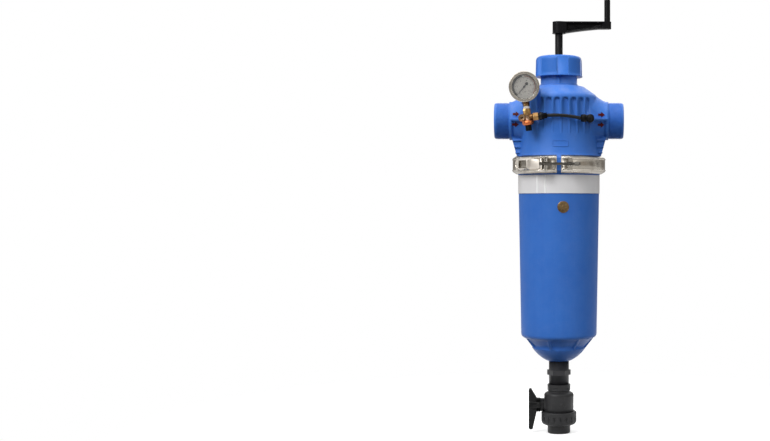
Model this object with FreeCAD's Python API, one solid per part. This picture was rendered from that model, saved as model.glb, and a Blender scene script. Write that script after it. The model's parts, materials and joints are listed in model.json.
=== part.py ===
import FreeCAD, Part
import math
import os

# Irrigation filter with a hand-cranked suction scanner, in millimetres.
# The origin is on the vertical axis at the mouth of the drain outlet. +Z is up, water flows towards +X,
# and the gauge is on the front, at -Y.

V = FreeCAD.Vector
ORIGIN = V(0, 0, 0)
AXIS_X = V(1, 0, 0)
AXIS_Y = V(0, 1, 0)
AXIS_Z = V(0, 0, 1)

# Clearances
RUN = 0.05            # radial gap of a running fit
SEATED = 0.05         # radial gap of a push-in fit
FREE = 0.3            # gap beside a part that swings or lifts clear

# Head
HEAD_R = 93.0         # body radius at the rib tops
HEAD_FOOT_R = 101.0   # body radius just above the flange
HEAD_WALL = 8.5
PARTING_Z = 643.4     # joint face between bowl and head
ROOF_Z = 833.0        # top of the roof at the neck
SHOULDER_Z = 806.0    # where the roof meets the vertical side
ROOF_FLAT_R = 58.0
PORT_Z = 750.0
PORT_THREAD_R = 42.46   # root of the 3 in pipe thread
PORT_BORE_R = 36.0
PORT_REACH = 154.75     # axis of the filter to the port face
PORT_THREAD_LENGTH = 36.0
PORT_CHAMFER = 2.0
COLLAR_R = 46.0
COLLAR_WIDTH = 9.0
PORT_TUBE_R = 45.0
NECK_R = 43.9
NECK_TOP_Z = 889.5
NECK_BORE_R = 37.55
NECK_MARK_WIDTH = 5.0
NECK_MARK_HEIGHT = 15.0
NECK_MARK_PROUD = 2.2
RIB_COUNT = 8
RIB_PITCH_DEG = 12.43
RIB_FIRST_DEG = -33.7
RIB_WIDTH = 5.0
RIB_DEPTH = 4.5
RIB_FOOT_Z = 700.0
RIB_HEAD_Z = 800.0
BOSS_X = 73.0
BOSS_R = 10.0
BOSS_FACE_Y = 70.0
TAP_R = 5.7
TAP_DEPTH = 14.0
SIDE_RIB_THICKNESS = 5.4
SIDE_RIB_END_Y = 56.0
SIDE_WEB_X = 63.0
SIDE_WEB_THICKNESS = 6.0
SIDE_WEB_FOOT_DROP = 4.0
POCKET_X = 47.5
POCKET_WIDTH = 9.0
POCKET_DEPTH = 17.5      # at its foot
POCKET_FOOT_RISE = 7.0   # above the port axis
FLANK_HOLE_X = 83.0      # blind hole in the flank of the inlet's gusset
FLANK_HOLE_R = 5.4
FLANK_HOLE_RISE = 40.0
FLANK_HOLE_FLOOR_Y = 38.0
GUSSET_X = (48.0, 75.4, 95.0)            # places of the upright sections of a port's gusset
GUSSET_HALF_WIDTH = (60.0, 55.0, 49.0)
GUSSET_SIDE_RISE = (42.0, 28.0, 13.0)    # above the port axis
GUSSET_TOP_RISE = (82.4, 70.3, 55.7)
GUSSET_PROUD = 0.5       # over the port's tube at the outer end
CORE_R = 62.0         # tube inside the head that carries the raw water to the screen
CORE_WALL = 6.0
CORE_FOOT_Z = 699.0
UNDER_WEB_HALF = 24.0
FIN_LEVELS_Z = (702.0, 686.0, 673.0)
FIN_THICKNESS = 2.4
FIN_PROUD = 2.6

# Flanges, clamp
BOWL_TOP_R = 97.6         # outside of the bowl's wall under its flange
BODY_ORING_OUT = 0.4      # centre of the body seal over the bowl's wall
BODY_ORING_R = BOWL_TOP_R + BODY_ORING_OUT
BODY_ORING_SECTION_R = 2.5
FLANGE_LAND = 3.0         # seal centre to the root of the flanges' slopes
FLANGE_LIP = 7.9          # rim of the flanges over that root
FLANGE_ROOT_R = BODY_ORING_R + FLANGE_LAND
FLANGE_R = FLANGE_ROOT_R + FLANGE_LIP
FLANGE_EDGE_HALF = 15.0   # half height of the flat rim of both flanges together
FLANGE_HALF = 19.4
CLAMP_WALL = 2.0
CLAMP_GAP_HALF = 5.0

CLAMP_IN = FREE                      # clamp to flange gap
CLAMP_OUT_R = FLANGE_R + CLAMP_IN + CLAMP_WALL
HINGE_Y = CLAMP_OUT_R + 5.5
HINGE_PIN_R = 3.0
HINGE_KNUCKLE_R = 5.5
CLAMP_HALF_HEIGHT = 14.5             # half height of posts, lever and hinge
POST_LEFT_X = (-34.9, -26.8)
POST_RIGHT_X = (23.1, 31.3)
POST_PROUD = 9.4                     # posts over the clamp band
POST_OUT_Y = CLAMP_OUT_R + POST_PROUD
BOLT_DEPTH = 2.0                     # bolt's axis behind the posts' faces
BOLT_Y = POST_OUT_Y - BOLT_DEPTH
BOLT_R = 3.2
BOLT_SLOT_HALF = 4.6
BOLT_NUT_R = 5.6
BOLT_NUT_X = (36.4, 46.8)
BOLT_END_X = 50.0
LEVER_PIN_X = -41.0
PIVOT_X = (POST_LEFT_X[0] + POST_LEFT_X[1]) / 2
LEVER_PIN_R = 2.4
LEVER_GAP = 2.0                      # clamp band to the closed lever
LEVER_IN_R = CLAMP_OUT_R + LEVER_GAP
LEVER_WALL = 1.8
LEVER_RIM = 4.2
LEVER_HALF = CLAMP_HALF_HEIGHT + FREE + LEVER_WALL
LEVER_START_DEG = 250.5
LEVER_END_DEG = 206.0
LEVER_WINDOW_DEG = (214.0, 228.0)

# Bowl
BOWL_LOW_R = 90.9
BOWL_WALL = 6.5
BOWL_NECK = 4.0       # height over which the wall runs out to the flange
BOWL_LOW_Z = 240.0
LEDGE_Z = 232.0       # edge where the wall turns in
LEDGE_R = 87.5
DOME_RIM_Z = 226.5    # foot of the ledge, where the fins start
DOME_RIM_R = 78.5
DOME_VALLEY_Z = 208.5
DOME_VALLEY_R = 61.0
DOME_BEAD_Z = 205.5   # top of the plain lower dome
DOME_BEAD_R = 64.5
DOME_SIDE_Z = 187.5   # point halfway down the lower dome
DOME_SIDE_R = 49.0
BOWL_FOOT_Z = 174.2
BOWL_FOOT_R = 29.0
DOME_FIN_COUNT = 7
DOME_FIN_FIRST_DEG = -107.6
DOME_FIN_THICKNESS = 4.0
DOME_FIN_OUT_R = 84.0
LABEL_LOW_Z = 575.3
LABEL_TOP_Z = 618.7
LABEL_THICKNESS = 0.4
SEAL_DISC_X = 10.1
SEAL_DISC_Z = 543.2
SEAL_DISC_R = 13.8
SEAL_DISC_THICKNESS = 1.0

# Cap and bush
CAP_FOOT_Z = 855.5
CAP_TOP_Z = 905.0
CAP_R = 56.1
CAP_GRIP_R = 53.6        # radius in the finger recesses
CAP_LOBES = 5
CAP_RECESS_DEG = 29.0
CAP_RECESS_FIRST_DEG = -80.6
CAP_ROUND = 10.0
CAP_LIP = 2.0
CAP_ROOF = 7.5
CAP_LIFT = 2.5           # rise of the cap over the half turn that loosens it
SLIP_RING_THICKNESS = 1.2
BUSH_FLANGE_R = 42.0
BUSH_SEAL_Z = 827.0      # foot of the thick sealing part of the bush
BUSH_SKIRT_R = 26.0
BUSH_FOOT_Z = 787.0
BUSH_RECESS_R = 18.5
BUSH_RECESS_DEPTH = 20.0
BUSH_NOTCHES = 6
BUSH_NOTCH_WIDTH = 9.0
BUSH_NOTCH_HEIGHT = 8.0
BUSH_ORING_SECTION_R = 2.0
BUSH_ORING_LEVELS_Z = (838.0, 850.0)
BUSH_PLATE = 6.0         # plate above the thread that carries the shaft seal
SHAFT_SEAL_HEIGHT = 3.0

# Crank and scanner, drawn raised
SHAFT_R = 9.3
SCREW_R = 12.45
SCREW_PITCH = 6.0
SCREW_TURNS = 8.5
CRANK_CLEAR = 2.0        # stop washer to the loosened cap, with the crank all the way down
HUB_HEIGHT = 27.0
HUB_R = 15.4
ARM_REACH = 116.5        # shaft to grip
ARM_END_THICKNESS = 17.5
ARM_END_HALF_WIDTH = 9.5
ARM_FLANGE = 3.4
ARM_RISE = 5.8           # how far the arm's underside has risen halfway to the grip
ARM_WEB_HALF = 2.6
ARM_RECESS_DEPTH = 3.5   # recess in the hub's top for the screw head
ARM_SCREW_R = 3.0
ARM_SCREW_LENGTH = 18.0
ARM_SCREW_HEAD_R = 6.0
STOP_WASHER_R = 16.0
STOP_WASHER_THICKNESS = 1.5
GRIP_R = 7.2
GRIP_LENGTH = 53.0
GRIP_ROUND = 1.4
GRIP_PIN_R = 3.0
GRIP_PIN_HEAD_R = 4.6
GRIP_PIN_HEAD_HEIGHT = 2.6
GRIP_PIN_SUNK = 0.4      # grip's end to the pin's head
PIPE_R = 16.0
PIPE_WALL = 2.6
PIPE_FLANGE_R = 17.5
PIPE_FLANGE_HEIGHT = 5.0
NOZZLE_COUNT = 8
NOZZLE_PITCH = 55.6
NOZZLE_FIRST_DROP = 120.0    # pipe flange to the first nozzle
NOZZLE_COLLAR_R = 23.8
NOZZLE_HEIGHT = 22.0
NOZZLE_TIP = 46.0
NOZZLE_MOUTH_HEIGHT = 18.0
NOZZLE_MOUTH_HALF = 4.0
NOZZLE_SLOT_R = 3.2
NOZZLE_SCREW_R = 1.6
NOZZLE_SCREW_HEAD_R = 2.8
NOZZLE_SCREW_HEAD_HEIGHT = 2.0
NOZZLE_LUG_HALF = 6.0        # half width of the clamp lug that the screw crosses
NOZZLE_LUG_STEP = 3.0
NOZZLE_SLIT = 1.6
NOZZLE_WALL = 2.6
END_SOCKET_R = 19.8
END_SOCKET_HEIGHT = 29.0
END_SOCKET_DROP = 12.0       # last nozzle to the socket's top
END_SOCKET_DEPTH = 18.0      # length of the pipe inside the socket
SPIGOT_R = 14.15
SPIGOT_WALL = 2.4
SPIGOT_LENGTH = 72.0

# Screen
SCREEN_R = 50.0          # inside of the mesh
MESH_THICKNESS = 0.8
CAGE_WALL = 4.0
CAGE_ROWS = 6
CAGE_WINDOWS = 6
CAGE_BAR = 12.0
SCREEN_TOP_RING_HEIGHT = 20.0
SCREEN_HANG = 6.0        # part of the top ring that stays below the core tube
SCREEN_SEAL_DROP = 9.0   # screen's top to its O-ring
SCREEN_FOOT_RING_HEIGHT = 14.0
SCREEN_FOOT_Z = 222.0
SCREEN_ORING_SECTION_R = 1.8
SEAT_RIM = 4.0           # width and height of the rim round the screen's foot

# Drain
NIPPLE_R = 24.0
NIPPLE_BORE_R = 19.5
NIPPLE_TOP_Z = 192.0
NIPPLE_HEX_LOW_Z = 139.3
NIPPLE_HEX_TOP_Z = 151.3
NIPPLE_HEX_R = 28.3
GUIDE_HEIGHT = 12.0
VALVE_R = 35.5
VALVE_NECK_R = 27.6
VALVE_TOP_Z = 116.4
VALVE_NOTCHES = 6        # shallow notches round the collar
VALVE_NOTCH_FIRST_DEG = -108.0
VALVE_NOTCH_HALF = 8.0
VALVE_NOTCH_DEPTH = 1.6
VALVE_NOTCH_Z = (103.6, 109.6)
VALVE_SHOULDER_Z = 97.8
VALVE_FOOT_Z = 40.0
VALVE_CAVITY_R = 28.2
VALVE_STEP_Z = 51.2
NIPPLE_FOOT_Z = 100.0
BALL_Z = 67.0
BALL_R = 26.5
BALL_BORE_R = 18.5
SEAT_R = 25.5
SEAT_REACH = 22.0        # ball centre to the back of a seat
SEAT_INNER_REACH = 10.0
STEM_R = 6.0
STEM_TANG_WIDTH = 6.0
STEM_TANG_DEPTH = 4.0
STEM_END_X = 60.0
STEM_COLLAR = 2.5        # how far the stem's inner collar stands out
STEM_ORING_X = (-34.5, -38.5)
STEM_ORING_SECTION_R = 0.8
GUIDE_SEAL_SECTION_R = 1.5
NUT_R = 42.4
NUT_GRIPS = 18
NUT_GRIP_R = 3.0
NUT_GRIP_TOP_Z = 41.0    # the grips end below a plain rim
NUT_LOW_Z = 20.0
NUT_FOOT_R = 31.0
TAIL_R = 27.35
TAIL_FLANGE_R = 33.0
TAIL_FLANGE_LOW_Z = 31.0
OUTLET_R = 22.42         # minor radius of the 1 1/2 in female pipe thread
OUTLET_DEPTH = 24.0
TAIL_BORE_R = 19.0
TAIL_ORING_R = 29.6
TAIL_ORING_SECTION_R = 1.5
HANDLE_NEAR_X = 44.6
HANDLE_FACE_X = 55.5
HANDLE_FAR_X = 72.5
HANDLE_HUB_R = 17.0
HANDLE_NECK_R = 15.5
HANDLE_UP = 38.5         # hub centre to the upper wing's end
HANDLE_DOWN = 58.3
HANDLE_WIDTH = 22.0
HANDLE_TIP_UP = 7.2      # thickness at the upper wing's end
HANDLE_TIP_DOWN = 10.5

# Pressure gauge, its valve and its hose
GAUGE_LEAN_DEG = 6.0
GAUGE_Y = -101.0
GAUGE_UP = 72.7          # tap axis to the gauge centre
GAUGE_R = 35.9
GAUGE_CASE_R = 33.0
GAUGE_DEPTH = 30.0
GAUGE_DIAL_R = 28.6
GAUGE_BEZEL_DEPTH = 9.0
GAUGE_GLASS_THICKNESS = 2.0
GAUGE_DIAL_THICKNESS = 0.8
GAUGE_POINTER_RISE = 2.6
POINTER_REST_DEG = 225.0
POINTER_LENGTH = 21.0
POINTER_TAIL = 8.0
POINTER_HUB_R = 3.2
POINTER_SHAFT_R = 1.0
STEM_HEX_R = 8.1
STEM_HEX_LOW = 28.0
STEM_NECK_R = 6.4
BRASS_TOP = 22.0
BRASS_BODY_R = 10.2      # corners of the upright six-sided body
BRASS_ARM_R = 7.4
BRASS_LEFT = 21.5
BRASS_RIGHT = 25.0
BRASS_HEX_R = 10.0
BRASS_EYE_R = 8.5
BRASS_BELL_R = 13.6
BRASS_BELL_LOW = -16.3
BRASS_BELL_TOP = -6.5
BRASS_PLUG_R = 4.0
KNOB_R = 7.2
KNOB_LOW = -29.5
HOSE_R = 4.0
HOSE_HUMP = 3.0
CONNECTOR_R = 8.4
CONNECTOR_LENGTH = 21.0
ELBOW_R = 9.2
ELBOW_LENGTH = 32.0
ELBOW_Y = -100.0

nodes = {}
seals = []            # every O-ring and lip seal that the housing holds, kept together in one node


def at(radius, angle_deg, z=0.0):
    """Point at a radius and an angle from +X, counted anticlockwise seen from above."""
    angle = math.radians(angle_deg)
    return V(radius * math.cos(angle), radius * math.sin(angle), z)


def rod(radius, start, end):
    """Solid cylinder from one point to another."""
    return Part.makeCylinder(radius, (end - start).Length, start, end - start)


def disc(radius, low_z, top_z):
    return Part.makeCylinder(radius, top_z - low_z, V(0, 0, low_z))


def ring(outer_r, inner_r, low_z, top_z):
    return disc(outer_r, low_z, top_z).cut(disc(inner_r, low_z - 1, top_z + 1))


def block(low, high):
    """Box between two corners given as (x, y, z)."""
    return Part.makeBox(high[0] - low[0], high[1] - low[1], high[2] - low[2], V(*low))


def face_of(points, place=lambda a, b: V(a, 0, b)):
    """Flat face through points. A point given as ((a, b), (c, d)) is an arc by way of (a, b) to (c, d)."""
    edges = []
    last = points[0]
    for step in list(points[1:]) + [points[0]]:
        if isinstance(step[0], tuple):
            edges.append(Part.Arc(place(*last), place(*step[0]), place(*step[1])).toShape())
            last = step[1]
        elif step != last:
            edges.append(Part.makeLine(place(*last), place(*step)))
            last = step
    return Part.Face(Part.Wire(edges))


def lathe(points):
    """Solid turned about +Z from a profile of (radius, z) points."""
    return face_of(points).revolve(ORIGIN, AXIS_Z, 360)


def plate_xz(points, low_y, high_y):
    """Outline in (x, z), thick from low_y to high_y."""
    return face_of(points, lambda a, b: V(a, low_y, b)).extrude(V(0, high_y - low_y, 0))


def plate_yz(points, low_x, high_x):
    return face_of(points, lambda a, b: V(low_x, a, b)).extrude(V(high_x - low_x, 0, 0))


def plate_xy(points, low_z, high_z):
    return face_of(points, lambda a, b: V(a, b, low_z)).extrude(V(0, 0, high_z - low_z))


def turned(shape, angle_deg, axis=AXIS_Z, centre=ORIGIN):
    copy = shape.copy()
    copy.rotate(centre, axis, angle_deg)
    return copy


def around(shape, count, first_deg=0.0):
    """Copies of a shape spread evenly round +Z."""
    return [turned(shape, first_deg + 360.0 * k / count) for k in range(count)]


def torus(major_r, section_r, z):
    return Part.makeTorus(major_r, section_r, V(0, 0, z), AXIS_Z)


def oring_groove(shape, shaft_r, section_r, z):
    """Cuts a square groove for an O-ring that lies against a wall just outside shaft_r."""
    width = 1.3 * section_r
    return shape.cut(ring(shaft_r + 1, shaft_r - 2 * section_r, z - width, z + width))


def hexagon_x(radius, low_x, high_x, y, z):
    """Six-sided bar along X; the radius is to its corners."""
    corners = [V(low_x, y + radius * math.cos(math.pi * k / 3), z + radius * math.sin(math.pi * k / 3))
               for k in range(7)]
    return Part.Face(Part.makePolygon(corners)).extrude(V(high_x - low_x, 0, 0))


def hexagon_z(radius, low_z, top_z, x=0.0, y=0.0, start_deg=0.0):
    corners = [V(x, y, 0) + at(radius, start_deg + 60 * k, low_z) for k in range(7)]
    return Part.Face(Part.makePolygon(corners)).extrude(V(0, 0, top_z - low_z))


# Head


def gusset_section(x, half_width, side_z, top_z):
    """Upright section of the moulding that blends a port into the body."""
    low = V(x, 0, PORT_Z - half_width)
    left = V(x, -half_width, PORT_Z)
    right = V(x, half_width, PORT_Z)
    left_up = V(x, -half_width, side_z)
    right_up = V(x, half_width, side_z)
    edges = [
        Part.Arc(left, low, right).toShape(),
        Part.makeLine(right, right_up),
        Part.Arc(right_up, V(x, 0, top_z), left_up).toShape(),
        Part.makeLine(left_up, left),
    ]
    return Part.Wire(edges)


def port_gusset():
    sections = [
        gusset_section(x, half_width, PORT_Z + side_rise, PORT_Z + top_rise)
        for x, half_width, side_rise, top_rise in zip(GUSSET_X, GUSSET_HALF_WIDTH, GUSSET_SIDE_RISE,
                                                      GUSSET_TOP_RISE)
    ]
    end_r = PORT_TUBE_R + GUSSET_PROUD
    collar_x = PORT_REACH - PORT_THREAD_LENGTH - COLLAR_WIDTH / 2
    sections.append(gusset_section(collar_x, end_r, PORT_Z + 2, PORT_Z + end_r))
    return Part.makeLoft(sections, True, False)


def port_outside():
    """One port towards +X with its thread land, collar and gusset."""
    thread_x = PORT_REACH - PORT_THREAD_LENGTH
    start = V(CORE_R, 0, PORT_Z)
    tube = rod(PORT_TUBE_R, start, V(thread_x, 0, PORT_Z))
    land = rod(PORT_THREAD_R, start, V(PORT_REACH - PORT_CHAMFER, 0, PORT_Z))
    nose = Part.makeCone(PORT_THREAD_R, PORT_THREAD_R - PORT_CHAMFER, PORT_CHAMFER,
                         V(PORT_REACH - PORT_CHAMFER, 0, PORT_Z), AXIS_X)
    collar = rod(COLLAR_R, V(thread_x - COLLAR_WIDTH, 0, PORT_Z), V(thread_x, 0, PORT_Z))
    foot = PARTING_Z + FLANGE_HALF + CLAMP_WALL + 1
    under = plate_xz([
        (HEAD_R - 30, foot),
        (HEAD_FOOT_R, foot),
        ((HEAD_FOOT_R + 5.0, foot + 18), (thread_x - COLLAR_WIDTH / 2, PORT_Z - PORT_TUBE_R + 9)),
        (HEAD_R - 30, PORT_Z - PORT_TUBE_R + 9),
    ], -UNDER_WEB_HALF, UNDER_WEB_HALF)
    pieces = [tube, land, nose, collar, port_gusset(), under]
    for level, reach in zip(FIN_LEVELS_Z, (7.5, 3.0, 0.5)):
        out_x = HEAD_FOOT_R + reach + FIN_PROUD
        pieces.append(block((HEAD_R - 30, -UNDER_WEB_HALF - FIN_PROUD, level - FIN_THICKNESS / 2),
                            (out_x, UNDER_WEB_HALF + FIN_PROUD, level + FIN_THICKNESS / 2)))
    return pieces


def rib_panel(centre_deg, width):
    """Tool for one recessed panel between two ribs, deepest at its rounded top and running out below."""
    half = width / 2.0
    floor_y = -(HEAD_R - RIB_DEPTH)
    tool = plate_xz([
        (-half, RIB_FOOT_Z),
        (half, RIB_FOOT_Z),
        (half, RIB_HEAD_Z - half),
        ((0.0, RIB_HEAD_Z), (-half, RIB_HEAD_Z - half)),
    ], floor_y - 30, floor_y)
    lean = math.degrees(math.atan2(RIB_DEPTH + 0.5, RIB_HEAD_Z - RIB_FOOT_Z))
    tool.rotate(V(0, floor_y, RIB_HEAD_Z), AXIS_X, -lean)
    return turned(tool, centre_deg)


def front_details():
    """Webs, bosses and pockets of the front half. The back half has the same, turned half a turn."""
    added = []
    cut = []
    for side in (-1, 1):
        boss_x = side * BOSS_X
        added.append(rod(BOSS_R, V(boss_x, -SIDE_RIB_END_Y + 22, PORT_Z), V(boss_x, -BOSS_FACE_Y, PORT_Z)))
        collar_x = side * (PORT_REACH - PORT_THREAD_LENGTH - COLLAR_WIDTH / 2)
        half = SIDE_RIB_THICKNESS / 2
        added.append(plate_xy([
            (boss_x, -BOSS_FACE_Y + 5),
            (collar_x, -SIDE_RIB_END_Y),
            (collar_x, -PORT_TUBE_R + 6),
            (boss_x, -PORT_TUBE_R + 6),
        ], PORT_Z - half, PORT_Z + half))
    web_x = -SIDE_WEB_X
    web_foot = PORT_Z - SIDE_WEB_FOOT_DROP
    added.append(plate_yz([
        (-PORT_TUBE_R + 1.6, web_foot),
        (-BOSS_FACE_Y + 2, web_foot),
        ((-BOSS_FACE_Y + 1, PORT_Z + 32), (-ROOF_FLAT_R, SHOULDER_Z + 12)),
        (-PORT_TUBE_R + 1.6, SHOULDER_Z + 12),
    ], web_x - SIDE_WEB_THICKNESS / 2, web_x + SIDE_WEB_THICKNESS / 2))
    half = POCKET_WIDTH / 2
    foot_z = PORT_Z + POCKET_FOOT_RISE
    cut.append(plate_yz([
        (-HEAD_R - 10, foot_z),
        (-HEAD_R + POCKET_DEPTH, foot_z),
        (-ROOF_FLAT_R - 2, SHOULDER_Z + 2),
        (-ROOF_FLAT_R - 8, ROOF_Z),
        (-HEAD_R - 10, ROOF_Z),
    ], -POCKET_X - half, -POCKET_X + half))
    hole_z = PORT_Z + FLANK_HOLE_RISE
    hole_floor = V(-FLANK_HOLE_X, -FLANK_HOLE_FLOOR_Y, hole_z)
    cut.append(rod(FLANK_HOLE_R, V(-FLANK_HOLE_X, -HEAD_R, hole_z), hole_floor))
    return added, cut


def build_head():
    top = PARTING_Z + FLANGE_HALF
    edge = PARTING_Z + FLANGE_EDGE_HALF
    body = lathe([
        (0, PARTING_Z),
        (FLANGE_R, PARTING_Z),
        (FLANGE_R, edge),
        (FLANGE_ROOT_R, top),
        (HEAD_FOOT_R - 2.5, top + 4),
        ((HEAD_R + 1.8, top + 24), (HEAD_R, top + 54)),
        (HEAD_R, SHOULDER_Z - 3),
        (HEAD_R - 1.5, SHOULDER_Z + 2),
        (HEAD_R - 5.0, SHOULDER_Z + 6),
        (ROOF_FLAT_R + 6, ROOF_Z - 4),
        (ROOF_FLAT_R + 2, ROOF_Z - 1.4),
        (ROOF_FLAT_R - 4, ROOF_Z),
        (NECK_R, ROOF_Z + 1.5),
        (NECK_R, NECK_TOP_Z),
        (0, NECK_TOP_Z),
    ])
    width = 2 * HEAD_R * math.sin(math.radians(RIB_PITCH_DEG / 2)) - RIB_WIDTH
    panels = [rib_panel(RIB_FIRST_DEG + (k + 0.5) * RIB_PITCH_DEG, width) for k in range(RIB_COUNT - 1)]
    outside = [body.cut(panels + [turned(panel, 180) for panel in panels])]
    right = port_outside()
    outside += right
    outside += [turned(piece, 180) for piece in right]
    added, cut = front_details()
    outside += added
    outside += [turned(piece, 180) for piece in added]
    outside.append(block((-NECK_MARK_WIDTH / 2, -NECK_R - NECK_MARK_PROUD, ROOF_Z + 1),
                         (NECK_MARK_WIDTH / 2, -NECK_R + NECK_MARK_PROUD, ROOF_Z + NECK_MARK_HEIGHT)))
    head = outside[0].multiFuse(outside[1:])
    inner_r = HEAD_R - HEAD_WALL
    cavity = lathe([
        (0, PARTING_Z - 1),
        (inner_r, PARTING_Z - 1),
        (inner_r, PORT_Z),
        (inner_r - 4, PORT_Z + 30),
        (inner_r - 22, SHOULDER_Z - 2),
        (0, SHOULDER_Z - 2),
    ])
    head = head.cut([cavity] + cut + [turned(tool, 180) for tool in cut])
    core = disc(CORE_R, CORE_FOOT_Z, SHOULDER_Z)
    inlet_tube = rod(PORT_BORE_R + CORE_WALL, V(-inner_r - 2, 0, PORT_Z), V(0, 0, PORT_Z))
    head = head.multiFuse([core, inlet_tube])
    core_inner = CORE_R - CORE_WALL
    hollows = [
        lathe([
            (0, CORE_FOOT_Z - 1),
            (core_inner, CORE_FOOT_Z - 1),
            (core_inner, SCREEN_TOP_Z),
            (core_inner - 4, SCREEN_TOP_Z),
            (core_inner - 4, SHOULDER_Z - 6),
            (NECK_BORE_R, SHOULDER_Z + 12),
            (NECK_BORE_R, NECK_TOP_Z + 1),
            (0, NECK_TOP_Z + 1),
        ]),
        rod(PORT_BORE_R, V(-PORT_REACH - 1, 0, PORT_Z), V(-CORE_R + 20, 0, PORT_Z)),
        rod(PORT_BORE_R, V(CORE_R + 3, 0, PORT_Z), V(PORT_REACH + 1, 0, PORT_Z)),
    ]
    for side in (-1, 1):
        hollows.append(rod(TAP_R, V(side * BOSS_X, -BOSS_FACE_Y + TAP_DEPTH, PORT_Z),
                           V(side * BOSS_X, -BOSS_FACE_Y - 5, PORT_Z)))
    return head.cut(hollows).removeSplitter()


# Bowl and what is on it


def bowl_radius(z):
    """Outside radius of the tapered part of the bowl."""
    share = (z - BOWL_LOW_Z) / (PARTING_Z - FLANGE_HALF - BOWL_NECK - BOWL_LOW_Z)
    return BOWL_LOW_R + share * (BOWL_TOP_R - BOWL_LOW_R)


def screen_seat():
    """Seat moulded on the bowl's floor. The screen stands on it, inside a low rim."""
    low_z = NIPPLE_TOP_Z + GUIDE_HEIGHT + 1
    seat = ring(SCREEN_RING_R + SEAT_RIM, SCREEN_R - SEAT_RIM, low_z, SCREEN_FOOT_Z + SEAT_RIM)
    return seat.cut(disc(SCREEN_RING_R + SEATED, SCREEN_FOOT_Z, SCREEN_FOOT_Z + 2 * SEAT_RIM))


def build_bowl():
    foot = PARTING_Z - FLANGE_HALF
    edge = PARTING_Z - FLANGE_EDGE_HALF
    floor_z = NIPPLE_TOP_Z + GUIDE_HEIGHT
    bowl = lathe([
        (0, BOWL_FOOT_Z),
        (BOWL_FOOT_R, BOWL_FOOT_Z),
        ((DOME_SIDE_R, DOME_SIDE_Z), (DOME_BEAD_R, DOME_BEAD_Z)),
        (DOME_VALLEY_R, DOME_VALLEY_Z),
        (DOME_RIM_R, DOME_RIM_Z),
        (LEDGE_R, LEDGE_Z),
        ((LEDGE_R + 2.4, LEDGE_Z + 3.4), (BOWL_LOW_R, BOWL_LOW_Z)),
        (BOWL_TOP_R, foot - BOWL_NECK),
        (FLANGE_ROOT_R, foot),
        (FLANGE_R, edge),
        (FLANGE_R, PARTING_Z),
        (0, PARTING_Z),
    ])
    fin = plate_xz([
        (DOME_VALLEY_R - 2, DOME_BEAD_Z - 1.5),
        (DOME_BEAD_R - 0.3, DOME_BEAD_Z - 0.4),
        (DOME_FIN_OUT_R, DOME_RIM_Z + 3.8),
        (DOME_VALLEY_R + 12, DOME_RIM_Z + 3.8),
    ], -DOME_FIN_THICKNESS / 2, DOME_FIN_THICKNESS / 2)
    bowl = bowl.multiFuse(around(fin, DOME_FIN_COUNT, DOME_FIN_FIRST_DEG))
    inside = lathe([
        (0, floor_z),
        (NIPPLE_R + 4, floor_z),
        (DOME_VALLEY_R - BOWL_WALL + 0.5, DOME_VALLEY_Z + 2),
        (DOME_RIM_R - 1.5, DOME_RIM_Z + BOWL_WALL + 0.5),
        ((BOWL_LOW_R - BOWL_WALL - 1, DOME_RIM_Z + BOWL_WALL + 4.5),
         (BOWL_LOW_R - BOWL_WALL, BOWL_LOW_Z + 8)),
        (BOWL_TOP_R - BOWL_WALL, PARTING_Z - 2),
        (BOWL_TOP_R - BOWL_WALL, PARTING_Z + 1),
        (0, PARTING_Z + 1),
    ])
    groove = ring(BODY_ORING_R + BODY_ORING_SECTION_R + RUN, BODY_ORING_R - BODY_ORING_SECTION_R - RUN,
                  PARTING_Z - 2 * BODY_ORING_SECTION_R, PARTING_Z + 1)
    bore = disc(NIPPLE_R + SEATED, BOWL_FOOT_Z - 1, floor_z + 1)
    return bowl.cut([inside, groove, bore]).fuse(screen_seat()).removeSplitter()


def build_label():
    low_r = bowl_radius(LABEL_LOW_Z) + SEATED
    top_r = bowl_radius(LABEL_TOP_Z) + SEATED
    return lathe([
        (low_r, LABEL_LOW_Z),
        (low_r + LABEL_THICKNESS, LABEL_LOW_Z),
        (top_r + LABEL_THICKNESS, LABEL_TOP_Z),
        (top_r, LABEL_TOP_Z),
    ])


def build_seal_disc():
    centre = V(SEAL_DISC_X, 0, SEAL_DISC_Z)
    plug = Part.makeCylinder(SEAL_DISC_R, BOWL_TOP_R + 10, centre, -AXIS_Y)
    skin_r = bowl_radius(SEAL_DISC_Z + SEAL_DISC_R) + SEATED
    low_z = SEAL_DISC_Z - SEAL_DISC_R - 1
    return plug.common(ring(skin_r + SEAL_DISC_THICKNESS, skin_r, low_z, low_z + 2 * SEAL_DISC_R + 2))


# Clamp

def clamp_section():
    """Half of the band's V section, closed towards the flanges, for turning about +Z."""
    out_edge = FLANGE_EDGE_HALF + 1.0
    out_half = FLANGE_HALF + CLAMP_WALL
    root = FLANGE_ROOT_R + CLAMP_IN
    return lathe([
        (root + 1.5, PARTING_Z - out_half),
        (CLAMP_OUT_R, PARTING_Z - out_edge),
        (CLAMP_OUT_R, PARTING_Z + out_edge),
        (root + 1.5, PARTING_Z + out_half),
        (root, PARTING_Z + out_half - CLAMP_WALL),
        (FLANGE_R + CLAMP_IN, PARTING_Z + FLANGE_EDGE_HALF + 0.2),
        (FLANGE_R + CLAMP_IN, PARTING_Z - FLANGE_EDGE_HALF - 0.2),
        (root, PARTING_Z - out_half + CLAMP_WALL),
    ])


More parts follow.
